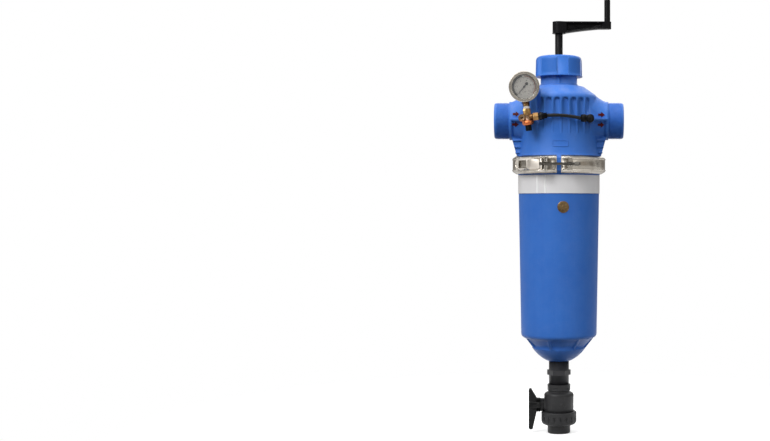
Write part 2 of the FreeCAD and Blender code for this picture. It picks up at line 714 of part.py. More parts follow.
def knuckle(low_z, top_z, side):
    """Part of the rear hinge, with a tongue to the band on its own side."""
    barrel = Part.makeCylinder(HINGE_KNUCKLE_R, top_z - low_z, V(0, HINGE_Y, low_z))
    tongue = plate_xy([
        (0, HINGE_Y - HINGE_KNUCKLE_R + 1.6),
        (side * 20, HINGE_Y - HINGE_KNUCKLE_R - 3.5),
        (side * 20, HINGE_Y - HINGE_KNUCKLE_R - 1.0),
        (side * 4, HINGE_Y + 3.2),
        (0, HINGE_Y + HINGE_KNUCKLE_R),
    ], low_z, top_z)
    return barrel.fuse(tongue)


def clamp_half(side):
    """Half band on one side, cut back at the front gap and at the hinge."""
    low = PARTING_Z - FLANGE_HALF - CLAMP_WALL - 1
    top = PARTING_Z + FLANGE_HALF + CLAMP_WALL + 1
    reach = CLAMP_OUT_R + 20
    near, far = sorted((side * CLAMP_GAP_HALF, side * reach))
    keep = block((near, -reach, low), (far, 0, top))
    near, far = sorted((side * 1.5, side * reach))
    rear = block((near, -1, low), (far, reach, top))
    return clamp_section().common(keep.fuse(rear))


def post(x_range, side):
    """Upright post on the band that the bolt bears on, with ears above and below it."""
    low_x, high_x = x_range
    low_z = PARTING_Z - CLAMP_HALF_HEIGHT
    top_z = PARTING_Z + CLAMP_HALF_HEIGHT
    body = block((low_x, -POST_OUT_Y, low_z), (high_x, -CLAMP_OUT_R + 6, top_z))
    ear_x = sorted((side * (CLAMP_GAP_HALF + 4), (low_x + high_x) / 2))
    ears = [
        block((ear_x[0], -CLAMP_OUT_R - 3.0, z), (ear_x[1], -CLAMP_OUT_R + 5, z + 2.4))
        for z in (low_z, top_z - 2.4)
    ]
    return body.multiFuse(ears).cut(disc(CLAMP_OUT_R - CLAMP_WALL / 2, low_z - 1, top_z + 1))


def bolt_slot(x_range):
    """Tool for the slot, open to the front, that lets the tie bolt swing out."""
    half = BOLT_SLOT_HALF
    floor_y = -BOLT_Y + half
    return plate_yz([
        (-POST_OUT_Y - 20, PARTING_Z - half),
        (-BOLT_Y, PARTING_Z - half),
        ((floor_y, PARTING_Z), (-BOLT_Y, PARTING_Z + half)),
        (-POST_OUT_Y - 20, PARTING_Z + half),
    ], x_range[0] - 1, x_range[1] + 1)


def build_clamp():
    """Two half bands. The left one carries the outer hinge knuckles, the right one the middle knuckle."""
    low_z = PARTING_Z - CLAMP_HALF_HEIGHT
    top_z = PARTING_Z + CLAMP_HALF_HEIGHT
    third = 2 * CLAMP_HALF_HEIGHT / 3
    pin_hole = Part.makeCylinder(HINGE_PIN_R + RUN, 4 * CLAMP_HALF_HEIGHT, V(0, HINGE_Y, low_z - 20))
    middle_low = low_z + third
    middle_top = top_z - third
    left = clamp_half(-1)
    left = left.multiFuse([
        knuckle(low_z, middle_low - FREE, -1),
        knuckle(middle_top + FREE, top_z, -1),
        post(POST_LEFT_X, -1),
    ])
    room = Part.makeCylinder(1.2 * HINGE_KNUCKLE_R, middle_top - middle_low, V(0, HINGE_Y, middle_low))
    stub_start = BOLT_SLOT_HALF + 1.5
    stub_foot = V(PIVOT_X, -BOLT_Y, PARTING_Z + stub_start)
    stub = Part.makeCylinder(LEVER_PIN_R, LEVER_HALF + 0.8 - stub_start, stub_foot)
    lower_stub = stub.mirror(V(0, 0, PARTING_Z), AXIS_Z)
    left = left.cut([
        pin_hole,
        bolt_slot(POST_LEFT_X),
        room.cut(disc(CLAMP_OUT_R, 0, NECK_TOP_Z)),
        stub,
        lower_stub,
    ])
    right = clamp_half(1).multiFuse([knuckle(middle_low, middle_top, 1), post(POST_RIGHT_X, 1)])
    right = right.cut([pin_hole, bolt_slot(POST_RIGHT_X)])
    nodes["clamp_half_left"] = left.removeSplitter()
    nodes["clamp_half_right"] = right.removeSplitter()
    reach = CLAMP_HALF_HEIGHT + 2.5
    hinge_pin = Part.makeCylinder(HINGE_PIN_R, 2 * reach, V(0, HINGE_Y, PARTING_Z - reach))
    nodes["clamp_pins"] = Part.makeCompound([hinge_pin, stub, lower_stub])


def build_lever():
    """Curved lever with raised rims and a window. Its free end is rounded in side view."""
    half = LEVER_HALF
    low_z = PARTING_Z - half
    top_z = PARTING_Z + half
    sector = plate_xy([
        (0, 0),
        tuple(at(200, LEVER_END_DEG))[:2],
        tuple(at(200, (LEVER_END_DEG + LEVER_START_DEG) / 2))[:2],
        tuple(at(200, LEVER_START_DEG))[:2],
    ], low_z, top_z)
    shell = ring(LEVER_IN_R + LEVER_WALL, LEVER_IN_R, low_z, top_z)
    rims = [
        ring(LEVER_IN_R + LEVER_RIM, LEVER_IN_R, low_z, low_z + LEVER_WALL),
        ring(LEVER_IN_R + LEVER_RIM, LEVER_IN_R, top_z - LEVER_WALL, top_z),
    ]
    band = shell.multiFuse(rims).common(sector)
    window_low, window_high = LEVER_WINDOW_DEG
    window = plate_xy([
        (0, 0),
        tuple(at(200, window_low))[:2],
        tuple(at(200, window_high))[:2],
    ], PARTING_Z - 0.55 * half, PARTING_Z + 0.55 * half)
    end_round = Part.makeCylinder(half, 60, V(0, -30, 0), AXIS_Y)
    corner = block((-half - 5, -20, -half - 1), (0, 20, half + 1)).cut(end_round)
    corner.rotate(ORIGIN, AXIS_Z, LEVER_END_DEG - 270)
    corner.translate(at(LEVER_IN_R, LEVER_END_DEG, PARTING_Z) + at(half, LEVER_END_DEG + 90))
    band = band.cut([window, corner])
    arm_points = [
        tuple(at(LEVER_IN_R, LEVER_START_DEG - 14))[:2],
        tuple(at(LEVER_IN_R, LEVER_START_DEG - 1))[:2],
        (PIVOT_X + 4.0, -BOLT_Y + 4.0),
        ((PIVOT_X + 5.5, -BOLT_Y - 3.5), (PIVOT_X - 1.0, -BOLT_Y - 5.6)),
        (LEVER_PIN_X - 2, -BOLT_Y - 5.6),
        tuple(at(LEVER_IN_R + LEVER_RIM, LEVER_START_DEG - 14))[:2],
    ]
    arms = [plate_xy(arm_points, z, z + LEVER_WALL) for z in (low_z, top_z - LEVER_WALL)]
    lever = band.multiFuse(arms)
    holes = [
        Part.makeCylinder(LEVER_PIN_R + RUN, 3 * half, V(PIVOT_X, -BOLT_Y, low_z - 5)),
        Part.makeCylinder(LEVER_PIN_R, 3 * half, V(LEVER_PIN_X, -BOLT_Y, low_z - 5)),
    ]
    nodes["clamp_lever"] = lever.cut(holes).removeSplitter()
    nodes["lever_bolt_pin"] = Part.makeCylinder(LEVER_PIN_R, 2 * half, V(LEVER_PIN_X, -BOLT_Y, low_z))


def build_tie_bolt():
    eye_half = BOLT_SLOT_HALF - 1.0
    centre = V(LEVER_PIN_X, -BOLT_Y, PARTING_Z)
    eye = Part.makeCylinder(LEVER_PIN_R + 2.6, 2 * eye_half, centre - V(0, 0, eye_half))
    shank = rod(BOLT_R, centre, V(BOLT_END_X, -BOLT_Y, PARTING_Z))
    hole = Part.makeCylinder(LEVER_PIN_R + RUN, 4 * eye_half, centre - V(0, 0, 2 * eye_half))
    nodes["tie_bolt"] = eye.fuse(shank).cut(hole)
    nut = hexagon_x(BOLT_NUT_R, BOLT_NUT_X[0], BOLT_NUT_X[1], -BOLT_Y, PARTING_Z)
    nodes["tie_bolt_nut"] = nut.cut(shank)


# Cap, slip ring, bush and seals

CAP_ROOF_Z = CAP_TOP_Z - CAP_ROOF
BUSH_TOP_Z = CAP_ROOF_Z - SLIP_RING_THICKNESS
BUSH_R = NECK_BORE_R - SEATED
BUSH_PLATE_Z = BUSH_TOP_Z - SHAFT_SEAL_HEIGHT - BUSH_PLATE


def build_cap():
    cap = lathe([
        (0, CAP_FOOT_Z),
        (CAP_R + 0.6, CAP_FOOT_Z),
        (CAP_R + 0.6, CAP_FOOT_Z + CAP_LIP),
        (CAP_R, CAP_FOOT_Z + CAP_LIP + 0.6),
        (CAP_R - 0.8, CAP_TOP_Z - CAP_ROUND),
        ((CAP_R - 0.3 * CAP_ROUND - 0.8, CAP_TOP_Z - 0.3 * CAP_ROUND), (CAP_R - CAP_ROUND - 1.5, CAP_TOP_Z)),
        (0, CAP_TOP_Z),
    ])
    half = CAP_RECESS_DEG / 2
    recess = plate_xy([
        tuple(at(CAP_GRIP_R, -half))[:2],
        tuple(at(CAP_R + 8, -half))[:2],
        tuple(at(CAP_R + 8, half))[:2],
        tuple(at(CAP_GRIP_R, half))[:2],
        (tuple(at(CAP_GRIP_R, 0))[:2], tuple(at(CAP_GRIP_R, -half))[:2]),
    ], CAP_FOOT_Z + CAP_LIP, CAP_TOP_Z + 1)
    inside = disc(NECK_R + FREE, CAP_FOOT_Z - 1, CAP_ROOF_Z)
    hole = disc(SHAFT_R + FREE, CAP_FOOT_Z, CAP_TOP_Z + 1)
    cap = cap.cut([inside, hole] + around(recess, CAP_LOBES, CAP_RECESS_FIRST_DEG))
    nodes["cap"] = cap.removeSplitter()
    nodes["cap_slip_ring"] = ring(BUSH_FLANGE_R - 2, SHAFT_R + 4, BUSH_TOP_Z, CAP_ROOF_Z)


def build_bush():
    bush = lathe([
        (BUSH_RECESS_R, BUSH_FOOT_Z),
        (BUSH_SKIRT_R, BUSH_FOOT_Z),
        (BUSH_SKIRT_R, BUSH_SEAL_Z),
        (BUSH_R, BUSH_SEAL_Z),
        (BUSH_R, NECK_TOP_Z),
        (BUSH_FLANGE_R, NECK_TOP_Z),
        (BUSH_FLANGE_R, BUSH_TOP_Z),
        (SHAFT_R + 4, BUSH_TOP_Z),
        (SHAFT_R + 4, BUSH_TOP_Z - SHAFT_SEAL_HEIGHT),
        (SHAFT_R + RUN, BUSH_TOP_Z - SHAFT_SEAL_HEIGHT),
        (SHAFT_R + RUN, BUSH_PLATE_Z),
        (SCREW_R + RUN, BUSH_PLATE_Z),
        (SCREW_R + RUN, BUSH_FOOT_Z + BUSH_RECESS_DEPTH),
        (BUSH_RECESS_R, BUSH_FOOT_Z + BUSH_RECESS_DEPTH),
    ])
    orings = []
    for level in BUSH_ORING_LEVELS_Z:
        bush = oring_groove(bush, BUSH_R, BUSH_ORING_SECTION_R, level)
        orings.append(torus(BUSH_R - BUSH_ORING_SECTION_R, BUSH_ORING_SECTION_R, level))
    notch = block((0, -BUSH_NOTCH_WIDTH / 2, BUSH_FOOT_Z - 1),
                  (BUSH_SKIRT_R + 2, BUSH_NOTCH_WIDTH / 2, BUSH_FOOT_Z + BUSH_NOTCH_HEIGHT))
    nodes["screw_bush"] = bush.cut(around(notch, BUSH_NOTCHES))
    seals.extend(orings)
    seals.append(ring(SHAFT_R + 4, SHAFT_R + RUN, BUSH_TOP_Z - SHAFT_SEAL_HEIGHT, BUSH_TOP_Z))


# Crank and suction scanner

PIPE_FLANGE_TOP_Z = BUSH_FOOT_Z + BUSH_RECESS_DEPTH
PIPE_TOP_Z = PIPE_FLANGE_TOP_Z - PIPE_FLANGE_HEIGHT
PIPE_BORE_R = PIPE_R - PIPE_WALL
HUB_FOOT_Z = CAP_TOP_Z + CAP_LIFT + CRANK_CLEAR + STOP_WASHER_THICKNESS + SCREW_PITCH * SCREW_TURNS
ARM_TOP_Z = HUB_FOOT_Z + HUB_HEIGHT
GRIP_TOP_Z = ARM_TOP_Z + GRIP_LENGTH
STUB_R = 8.0
STUB_LENGTH = 16.0
PLUG_LENGTH = 34.0
LAST_NOZZLE_Z = PIPE_FLANGE_TOP_Z - NOZZLE_FIRST_DROP - (NOZZLE_COUNT - 1) * NOZZLE_PITCH
END_SOCKET_TOP_Z = LAST_NOZZLE_Z - END_SOCKET_DROP
END_SOCKET_LOW_Z = END_SOCKET_TOP_Z - END_SOCKET_HEIGHT
ARM_RECESS_FLOOR_Z = ARM_TOP_Z - ARM_RECESS_DEPTH
SHAFT_TOP_Z = ARM_RECESS_FLOOR_Z - 3


def build_crank():
    screw_top = BUSH_PLATE_Z - 0.8
    shaft = lathe([
        (0, PIPE_FLANGE_TOP_Z - STUB_LENGTH),
        (STUB_R, PIPE_FLANGE_TOP_Z - STUB_LENGTH),
        (STUB_R, PIPE_FLANGE_TOP_Z),
        (SCREW_R, PIPE_FLANGE_TOP_Z),
        (SCREW_R, screw_top - 1.5),
        (SHAFT_R, screw_top),
        (SHAFT_R, SHAFT_TOP_Z),
        (0, SHAFT_TOP_Z),
    ])
    shank = disc(ARM_SCREW_R, ARM_RECESS_FLOOR_Z - ARM_SCREW_LENGTH, ARM_RECESS_FLOOR_Z)
    nodes["crank_shaft"] = shaft.cut(shank)
    screw_head = disc(ARM_SCREW_HEAD_R, ARM_RECESS_FLOOR_Z, ARM_TOP_Z - 0.4)
    nodes["crank_arm_screw"] = shank.fuse(screw_head).removeSplitter()
    end_low = ARM_TOP_Z - ARM_END_THICKNESS
    half = ARM_END_HALF_WIDTH
    side = plate_xz([
        (-HUB_R - 1, HUB_FOOT_Z),
        (HUB_R, HUB_FOOT_Z),
        ((ARM_REACH / 2, HUB_FOOT_Z + ARM_RISE), (ARM_REACH - 2 * half, end_low)),
        (ARM_REACH + half + 1, end_low),
        (ARM_REACH + half + 1, ARM_TOP_Z),
        (-HUB_R - 1, ARM_TOP_Z),
    ], -HUB_R - 1, HUB_R + 1)
    plan = plate_xy([
        (0, HUB_R),
        ((-HUB_R, 0), (0, -HUB_R)),
        (HUB_R, -half - 1.5),
        (ARM_REACH, -half),
        ((ARM_REACH + half, 0), (ARM_REACH, half)),
        (HUB_R, half + 1.5),
    ], HUB_FOOT_Z - 1, ARM_TOP_Z + 1)
    arm = side.common(plan)
    pockets = []
    for hand in (-1, 1):
        low_y, high_y = sorted((hand * ARM_WEB_HALF, hand * (HUB_R + 2)))
        pockets.append(plate_xz([
            (HUB_R + 3, HUB_FOOT_Z + ARM_FLANGE + 0.6),
            ((ARM_REACH / 2, HUB_FOOT_Z + ARM_RISE + ARM_FLANGE),
             (ARM_REACH - 2 * half, end_low + ARM_FLANGE)),
            (ARM_REACH - half - 3, end_low + ARM_FLANGE),
            (ARM_REACH - half - 3, ARM_TOP_Z - ARM_FLANGE),
            (HUB_R + 3, ARM_TOP_Z - ARM_FLANGE),
        ], low_y, high_y))
    bore = disc(SHAFT_R + SEATED, HUB_FOOT_Z - 1, SHAFT_TOP_Z)
    recess = disc(ARM_SCREW_HEAD_R + FREE, ARM_RECESS_FLOOR_Z, ARM_TOP_Z + 1)
    neck = disc(ARM_SCREW_R + SEATED, HUB_FOOT_Z, ARM_TOP_Z)
    pin_hole = Part.makeCylinder(GRIP_PIN_R, ARM_END_THICKNESS + 2, V(ARM_REACH, 0, end_low - 1))
    nodes["crank_arm"] = arm.cut(pockets + [bore, recess, neck, pin_hole]).removeSplitter()
    head_height = GRIP_PIN_HEAD_HEIGHT
    pin_top = GRIP_TOP_Z - GRIP_PIN_SUNK
    pin = Part.makeCylinder(GRIP_PIN_R, pin_top - head_height - end_low, V(ARM_REACH, 0, end_low))
    head = Part.makeCylinder(GRIP_PIN_HEAD_R, head_height, V(ARM_REACH, 0, pin_top - head_height))
    nodes["crank_grip_pin"] = pin.fuse(head).removeSplitter()
    grip = Part.makeCylinder(GRIP_R, GRIP_TOP_Z - ARM_TOP_Z - FREE, V(ARM_REACH, 0, ARM_TOP_Z + FREE))
    top_edge = [edge for edge in grip.Edges if edge.BoundBox.ZMin > GRIP_TOP_Z - 0.01]
    grip = grip.makeFillet(GRIP_ROUND, top_edge)
    grip_cuts = [
        Part.makeCylinder(GRIP_PIN_R + RUN, GRIP_LENGTH + 1, V(ARM_REACH, 0, ARM_TOP_Z)),
        Part.makeCylinder(GRIP_PIN_HEAD_R + FREE, 2 * head_height,
                          V(ARM_REACH, 0, pin_top - head_height - RUN)),
    ]
    nodes["crank_grip"] = grip.cut(grip_cuts)
    nodes["stop_washer"] = ring(STOP_WASHER_R, SHAFT_R + RUN, HUB_FOOT_Z - STOP_WASHER_THICKNESS, HUB_FOOT_Z)


def nozzle(z, side):
    """Suction nozzle clamped on the pipe: a collar, a flat spout to one side and a clamp lug on the other."""
    half = NOZZLE_HEIGHT / 2
    mouth = NOZZLE_MOUTH_HEIGHT / 2
    collar = ring(PIPE_R + NOZZLE_WALL, PIPE_R + SEATED, z - half, z + half)
    spout = plate_xy([
        (0, -NOZZLE_COLLAR_R + 6),
        (NOZZLE_TIP, -NOZZLE_MOUTH_HALF),
        (NOZZLE_TIP, NOZZLE_MOUTH_HALF),
        (0, NOZZLE_COLLAR_R - 6),
    ], z - half, z + half)
    trim = plate_xz([
        (0, z - half),
        (NOZZLE_COLLAR_R, z - half),
        (NOZZLE_TIP, z - mouth),
        (NOZZLE_TIP, z + mouth),
        (NOZZLE_COLLAR_R, z + half),
        (0, z + half),
    ], -NOZZLE_COLLAR_R, NOZZLE_COLLAR_R)
    screw_x = -NOZZLE_COLLAR_R + NOZZLE_SCREW_HEAD_R + 0.2
    lug_y = NOZZLE_LUG_HALF
    head_y = lug_y + NOZZLE_SCREW_HEAD_HEIGHT
    slit = NOZZLE_SLIT / 2
    lug = block((-NOZZLE_COLLAR_R, -lug_y, z - half + NOZZLE_LUG_STEP),
                (-PIPE_R, lug_y, z + half - NOZZLE_LUG_STEP))
    body = collar.multiFuse([spout.common(trim), lug])
    hollow = [
        disc(PIPE_R + SEATED, z - half - 1, z + half + 1),
        rod(NOZZLE_SLOT_R, V(0, 0, z), V(NOZZLE_TIP + 1, 0, z)),
        block((-NOZZLE_COLLAR_R - 1, -slit, z - half), (-PIPE_R + 1, slit, z + half)),
        rod(NOZZLE_SCREW_R, V(screw_x, -head_y - 1, z), V(screw_x, head_y + 1, z)),
    ]
    shape = body.cut(hollow).removeSplitter()
    screw = rod(NOZZLE_SCREW_R, V(screw_x, -lug_y, z), V(screw_x, lug_y, z))
    screw_head = rod(NOZZLE_SCREW_HEAD_R, V(screw_x, -head_y, z), V(screw_x, -lug_y, z))
    screw = screw.fuse(screw_head).removeSplitter()
    turn = 0 if side > 0 else 180
    return turned(shape, turn), turned(screw, turn)


def build_scanner():
    pipe_foot = END_SOCKET_TOP_Z - END_SOCKET_DEPTH
    pipe = ring(PIPE_R, PIPE_BORE_R, pipe_foot, PIPE_TOP_Z)
    plug = disc(PIPE_FLANGE_R, PIPE_TOP_Z, PIPE_FLANGE_TOP_Z)
    plug = plug.fuse(disc(PIPE_BORE_R - SEATED, PIPE_TOP_Z - PLUG_LENGTH, PIPE_TOP_Z))
    plug = plug.cut(disc(STUB_R + SEATED, PIPE_FLANGE_TOP_Z - STUB_LENGTH, PIPE_FLANGE_TOP_Z + 1))
    nodes["pipe_plug"] = plug.removeSplitter()
    screws = []
    holes = []
    for k in range(NOZZLE_COUNT):
        z = PIPE_FLANGE_TOP_Z - NOZZLE_FIRST_DROP - k * NOZZLE_PITCH
        side = -1 if k % 2 else 1
        shape, screw = nozzle(z, side)
        nodes["nozzle_%d" % (k + 1)] = shape
        screws.append(screw)
        holes.append(rod(NOZZLE_SLOT_R, V(0, 0, z), V(side * (PIPE_R + 2), 0, z)))
    nodes["nozzle_screws"] = Part.makeCompound(screws)
    nodes["scanner_pipe"] = pipe.cut(holes)
    socket = disc(END_SOCKET_R, END_SOCKET_LOW_Z, END_SOCKET_TOP_Z).cut([
        disc(PIPE_R + SEATED, pipe_foot, END_SOCKET_TOP_Z + 1),
        disc(SPIGOT_R + SEATED, END_SOCKET_LOW_Z - 1, pipe_foot),
    ])
    nodes["pipe_end_socket"] = socket
    spigot_low = END_SOCKET_LOW_Z - SPIGOT_LENGTH
    nodes["drain_spigot"] = ring(SPIGOT_R, SPIGOT_R - SPIGOT_WALL, spigot_low, pipe_foot)


# Screen

SCREEN_TOP_Z = CORE_FOOT_Z + SCREEN_TOP_RING_HEIGHT - SCREEN_HANG
MESH_LOW_Z = SCREEN_FOOT_Z + SCREEN_FOOT_RING_HEIGHT
MESH_TOP_Z = SCREEN_TOP_Z - SCREEN_TOP_RING_HEIGHT
SCREEN_RING_R = CORE_R - CORE_WALL - SEATED
SCREEN_SEAL_Z = SCREEN_TOP_Z - SCREEN_SEAL_DROP


def build_screen():
    mesh_out = SCREEN_R + MESH_THICKNESS
    cage_in = mesh_out + SEATED
    cage = ring(cage_in + CAGE_WALL, cage_in, MESH_LOW_Z, MESH_TOP_Z)
    row_pitch = (MESH_TOP_Z - MESH_LOW_Z - CAGE_BAR) / CAGE_ROWS
    half = math.pi * (cage_in + CAGE_WALL) / CAGE_WINDOWS - CAGE_BAR / 2
    windows = []
    for row in range(CAGE_ROWS):
        low = MESH_LOW_Z + CAGE_BAR + row * row_pitch
        window = block((cage_in - 8, -half, low), (cage_in + CAGE_WALL + 8, half, low + row_pitch - CAGE_BAR))
        windows += around(window, CAGE_WINDOWS)
    nodes["screen_cage"] = cage.cut(windows)
    nodes["screen_mesh"] = ring(mesh_out, SCREEN_R, MESH_LOW_Z, MESH_TOP_Z)
    top = ring(SCREEN_RING_R, SCREEN_R, MESH_TOP_Z, SCREEN_TOP_Z)
    nodes["screen_top_ring"] = oring_groove(top, SCREEN_RING_R, SCREEN_ORING_SECTION_R, SCREEN_SEAL_Z)
    seals.append(torus(SCREEN_RING_R - SCREEN_ORING_SECTION_R, SCREEN_ORING_SECTION_R, SCREEN_SEAL_Z))
    nodes["screen_foot_ring"] = ring(SCREEN_RING_R, SCREEN_R, SCREEN_FOOT_Z, MESH_LOW_Z)


# Drain


def build_drain():
    nipple = ring(NIPPLE_R, NIPPLE_BORE_R, NIPPLE_FOOT_Z, NIPPLE_TOP_Z)
    hexagon = hexagon_z(NIPPLE_HEX_R, NIPPLE_HEX_LOW_Z, NIPPLE_HEX_TOP_Z)
    nodes["drain_nipple"] = nipple.fuse(hexagon.cut(disc(NIPPLE_BORE_R, 0, NIPPLE_TOP_Z))).removeSplitter()
    guide_bore = SPIGOT_R + RUN
    guide = ring(NIPPLE_R, guide_bore, NIPPLE_TOP_Z, NIPPLE_TOP_Z + GUIDE_HEIGHT)
    seal_z = NIPPLE_TOP_Z + GUIDE_HEIGHT / 2
    seal_r = GUIDE_SEAL_SECTION_R
    half = 1.3 * seal_r
    guide = guide.cut(ring(guide_bore + 2 * seal_r + RUN, guide_bore - 1, seal_z - half, seal_z + half))
    nodes["spigot_guide"] = guide
    seals.append(torus(guide_bore + seal_r, seal_r, seal_z))
    body = lathe([
        (0, VALVE_FOOT_Z),
        (VALVE_R - 0.5, VALVE_FOOT_Z),
        (VALVE_R - 0.5, VALVE_STEP_Z),
        (VALVE_R, VALVE_STEP_Z + 0.5),
        (VALVE_R, VALVE_SHOULDER_Z - 10),
        ((VALVE_R - 1.6, VALVE_SHOULDER_Z - 3), (VALVE_NECK_R + 1, VALVE_SHOULDER_Z)),
        (VALVE_NECK_R - 1.5, VALVE_SHOULDER_Z + 1.5),
        (VALVE_NECK_R - 1.5, VALVE_SHOULDER_Z + 4),
        (VALVE_NECK_R, VALVE_SHOULDER_Z + 5),
        (VALVE_NECK_R, VALVE_TOP_Z),
        (0, VALVE_TOP_Z),
    ])
    notch = block((VALVE_NECK_R - VALVE_NOTCH_DEPTH, -VALVE_NOTCH_HALF, VALVE_NOTCH_Z[0]),
                  (VALVE_NECK_R + 2, VALVE_NOTCH_HALF, VALVE_NOTCH_Z[1]))
    body = body.cut(around(notch, VALVE_NOTCHES, VALVE_NOTCH_FIRST_DEG))
    boss = rod(HANDLE_NECK_R, V(0, 0, BALL_Z), V(-HANDLE_NEAR_X + FREE, 0, BALL_Z))
    collar_x = -VALVE_CAVITY_R - 3
    orings = []
    stem_hole = rod(STEM_R + RUN, V(0, 0, BALL_Z), V(-STEM_END_X, 0, BALL_Z))
    body = body.fuse(boss).cut([
        disc(VALVE_CAVITY_R, VALVE_FOOT_Z - 1, BALL_Z + SEAT_REACH),
        disc(BALL_BORE_R, BALL_Z, VALVE_TOP_Z + 1),
        disc(NIPPLE_R + SEATED, NIPPLE_FOOT_Z, VALVE_TOP_Z + 1),
        stem_hole,
        rod(STEM_R + STEM_COLLAR + RUN, V(0, 0, BALL_Z), V(collar_x, 0, BALL_Z)),
    ])
    nodes["valve_body"] = body.removeSplitter()
    sphere = Part.makeSphere(BALL_R, V(0, 0, BALL_Z))
    slot = block((-BALL_R - 1, -STEM_TANG_WIDTH / 2 - RUN, BALL_Z - 2 * BALL_R),
                 (-BALL_R + STEM_TANG_DEPTH, STEM_TANG_WIDTH / 2 + RUN, BALL_Z + 2 * BALL_R))
    nodes["valve_ball"] = sphere.cut([disc(BALL_BORE_R, 0, NIPPLE_TOP_Z), slot])
    hollow_ball = Part.makeSphere(BALL_R + RUN, V(0, 0, BALL_Z))
    upper = ring(SEAT_R, BALL_BORE_R, BALL_Z + SEAT_INNER_REACH, BALL_Z + SEAT_REACH).cut(hollow_ball)
    nodes["ball_seats"] = Part.makeCompound([upper, upper.mirror(V(0, 0, BALL_Z), AXIS_Z)])
    nodes["seat_carrier"] = ring(VALVE_CAVITY_R - SEATED, BALL_BORE_R, VALVE_FOOT_Z, BALL_Z - SEAT_REACH)
    stem = rod(STEM_R, V(-BALL_R - 0.4, 0, BALL_Z), V(-STEM_END_X, 0, BALL_Z))
    stem = stem.fuse(rod(STEM_R + STEM_COLLAR, V(-BALL_R - 0.4, 0, BALL_Z), V(collar_x + RUN, 0, BALL_Z)))
    tang = rod(STEM_R, V(-BALL_R + STEM_TANG_DEPTH - RUN, 0, BALL_Z), V(-BALL_R - 1, 0, BALL_Z)).common(
        block((-BALL_R - 3, -STEM_TANG_WIDTH / 2, 0), (0, STEM_TANG_WIDTH / 2, NIPPLE_TOP_Z)))
    stem = stem.fuse(tang)
    section = STEM_ORING_SECTION_R
    half = 1.3 * section
    for x in STEM_ORING_X:
        groove = rod(STEM_R + 1, V(x - half, 0, BALL_Z), V(x + half, 0, BALL_Z)).cut(
            rod(STEM_R - 2 * section, V(x - 2 * half, 0, BALL_Z), V(x + 2 * half, 0, BALL_Z)))
        stem = stem.cut(groove)
        orings.append(Part.makeTorus(STEM_R - section, section, V(x, 0, BALL_Z), AXIS_X))
    nodes["valve_stem"] = stem.removeSplitter()
    nodes["stem_orings"] = Part.makeCompound(orings)


def build_handle():
    hub = rod(HANDLE_HUB_R, V(-HANDLE_NEAR_X, 0, BALL_Z), V(-HANDLE_FACE_X, 0, BALL_Z))
    up = BALL_Z + HANDLE_UP
    down = BALL_Z - HANDLE_DOWN
    tip_up = HANDLE_TIP_UP / 2
    tip_down = HANDLE_TIP_DOWN / 2
    wings = plate_xz([
        (-HANDLE_FACE_X + 2, BALL_Z - HANDLE_HUB_R + 1),
        (-HANDLE_FACE_X + 2, BALL_Z + HANDLE_HUB_R - 1),
        (-HANDLE_FAR_X + 2 * tip_up, up - tip_up),
        ((-HANDLE_FAR_X + tip_up, up), (-HANDLE_FAR_X, up - tip_up)),
        (-HANDLE_FAR_X, down + tip_down),
        ((-HANDLE_FAR_X + tip_down, down), (-HANDLE_FAR_X + 2 * tip_down, down + tip_down)),
    ], -HANDLE_HUB_R, HANDLE_HUB_R)
    waist = plate_yz([
        (-HANDLE_WIDTH / 2, down),
        ((-HANDLE_WIDTH / 2 - 1.5, BALL_Z - 0.6 * HANDLE_DOWN), (-HANDLE_HUB_R, BALL_Z)),
        ((-HANDLE_WIDTH / 2 - 1.5, BALL_Z + 0.6 * HANDLE_UP), (-HANDLE_WIDTH / 2, up)),
        ((0, up + 1.5), (HANDLE_WIDTH / 2, up)),
        ((HANDLE_WIDTH / 2 + 1.5, BALL_Z + 0.6 * HANDLE_UP), (HANDLE_HUB_R, BALL_Z)),
        ((HANDLE_WIDTH / 2 + 1.5, BALL_Z - 0.6 * HANDLE_DOWN), (HANDLE_WIDTH / 2, down)),
        ((0, down - 1.5), (-HANDLE_WIDTH / 2, down)),
    ], -HANDLE_FAR_X - 1, -HANDLE_NEAR_X)
    hole = rod(STEM_R + SEATED, V(-HANDLE_NEAR_X + 5, 0, BALL_Z), V(-STEM_END_X, 0, BALL_Z))
    nodes["valve_handle"] = hub.fuse(wings.common(waist)).cut(hole).removeSplitter()


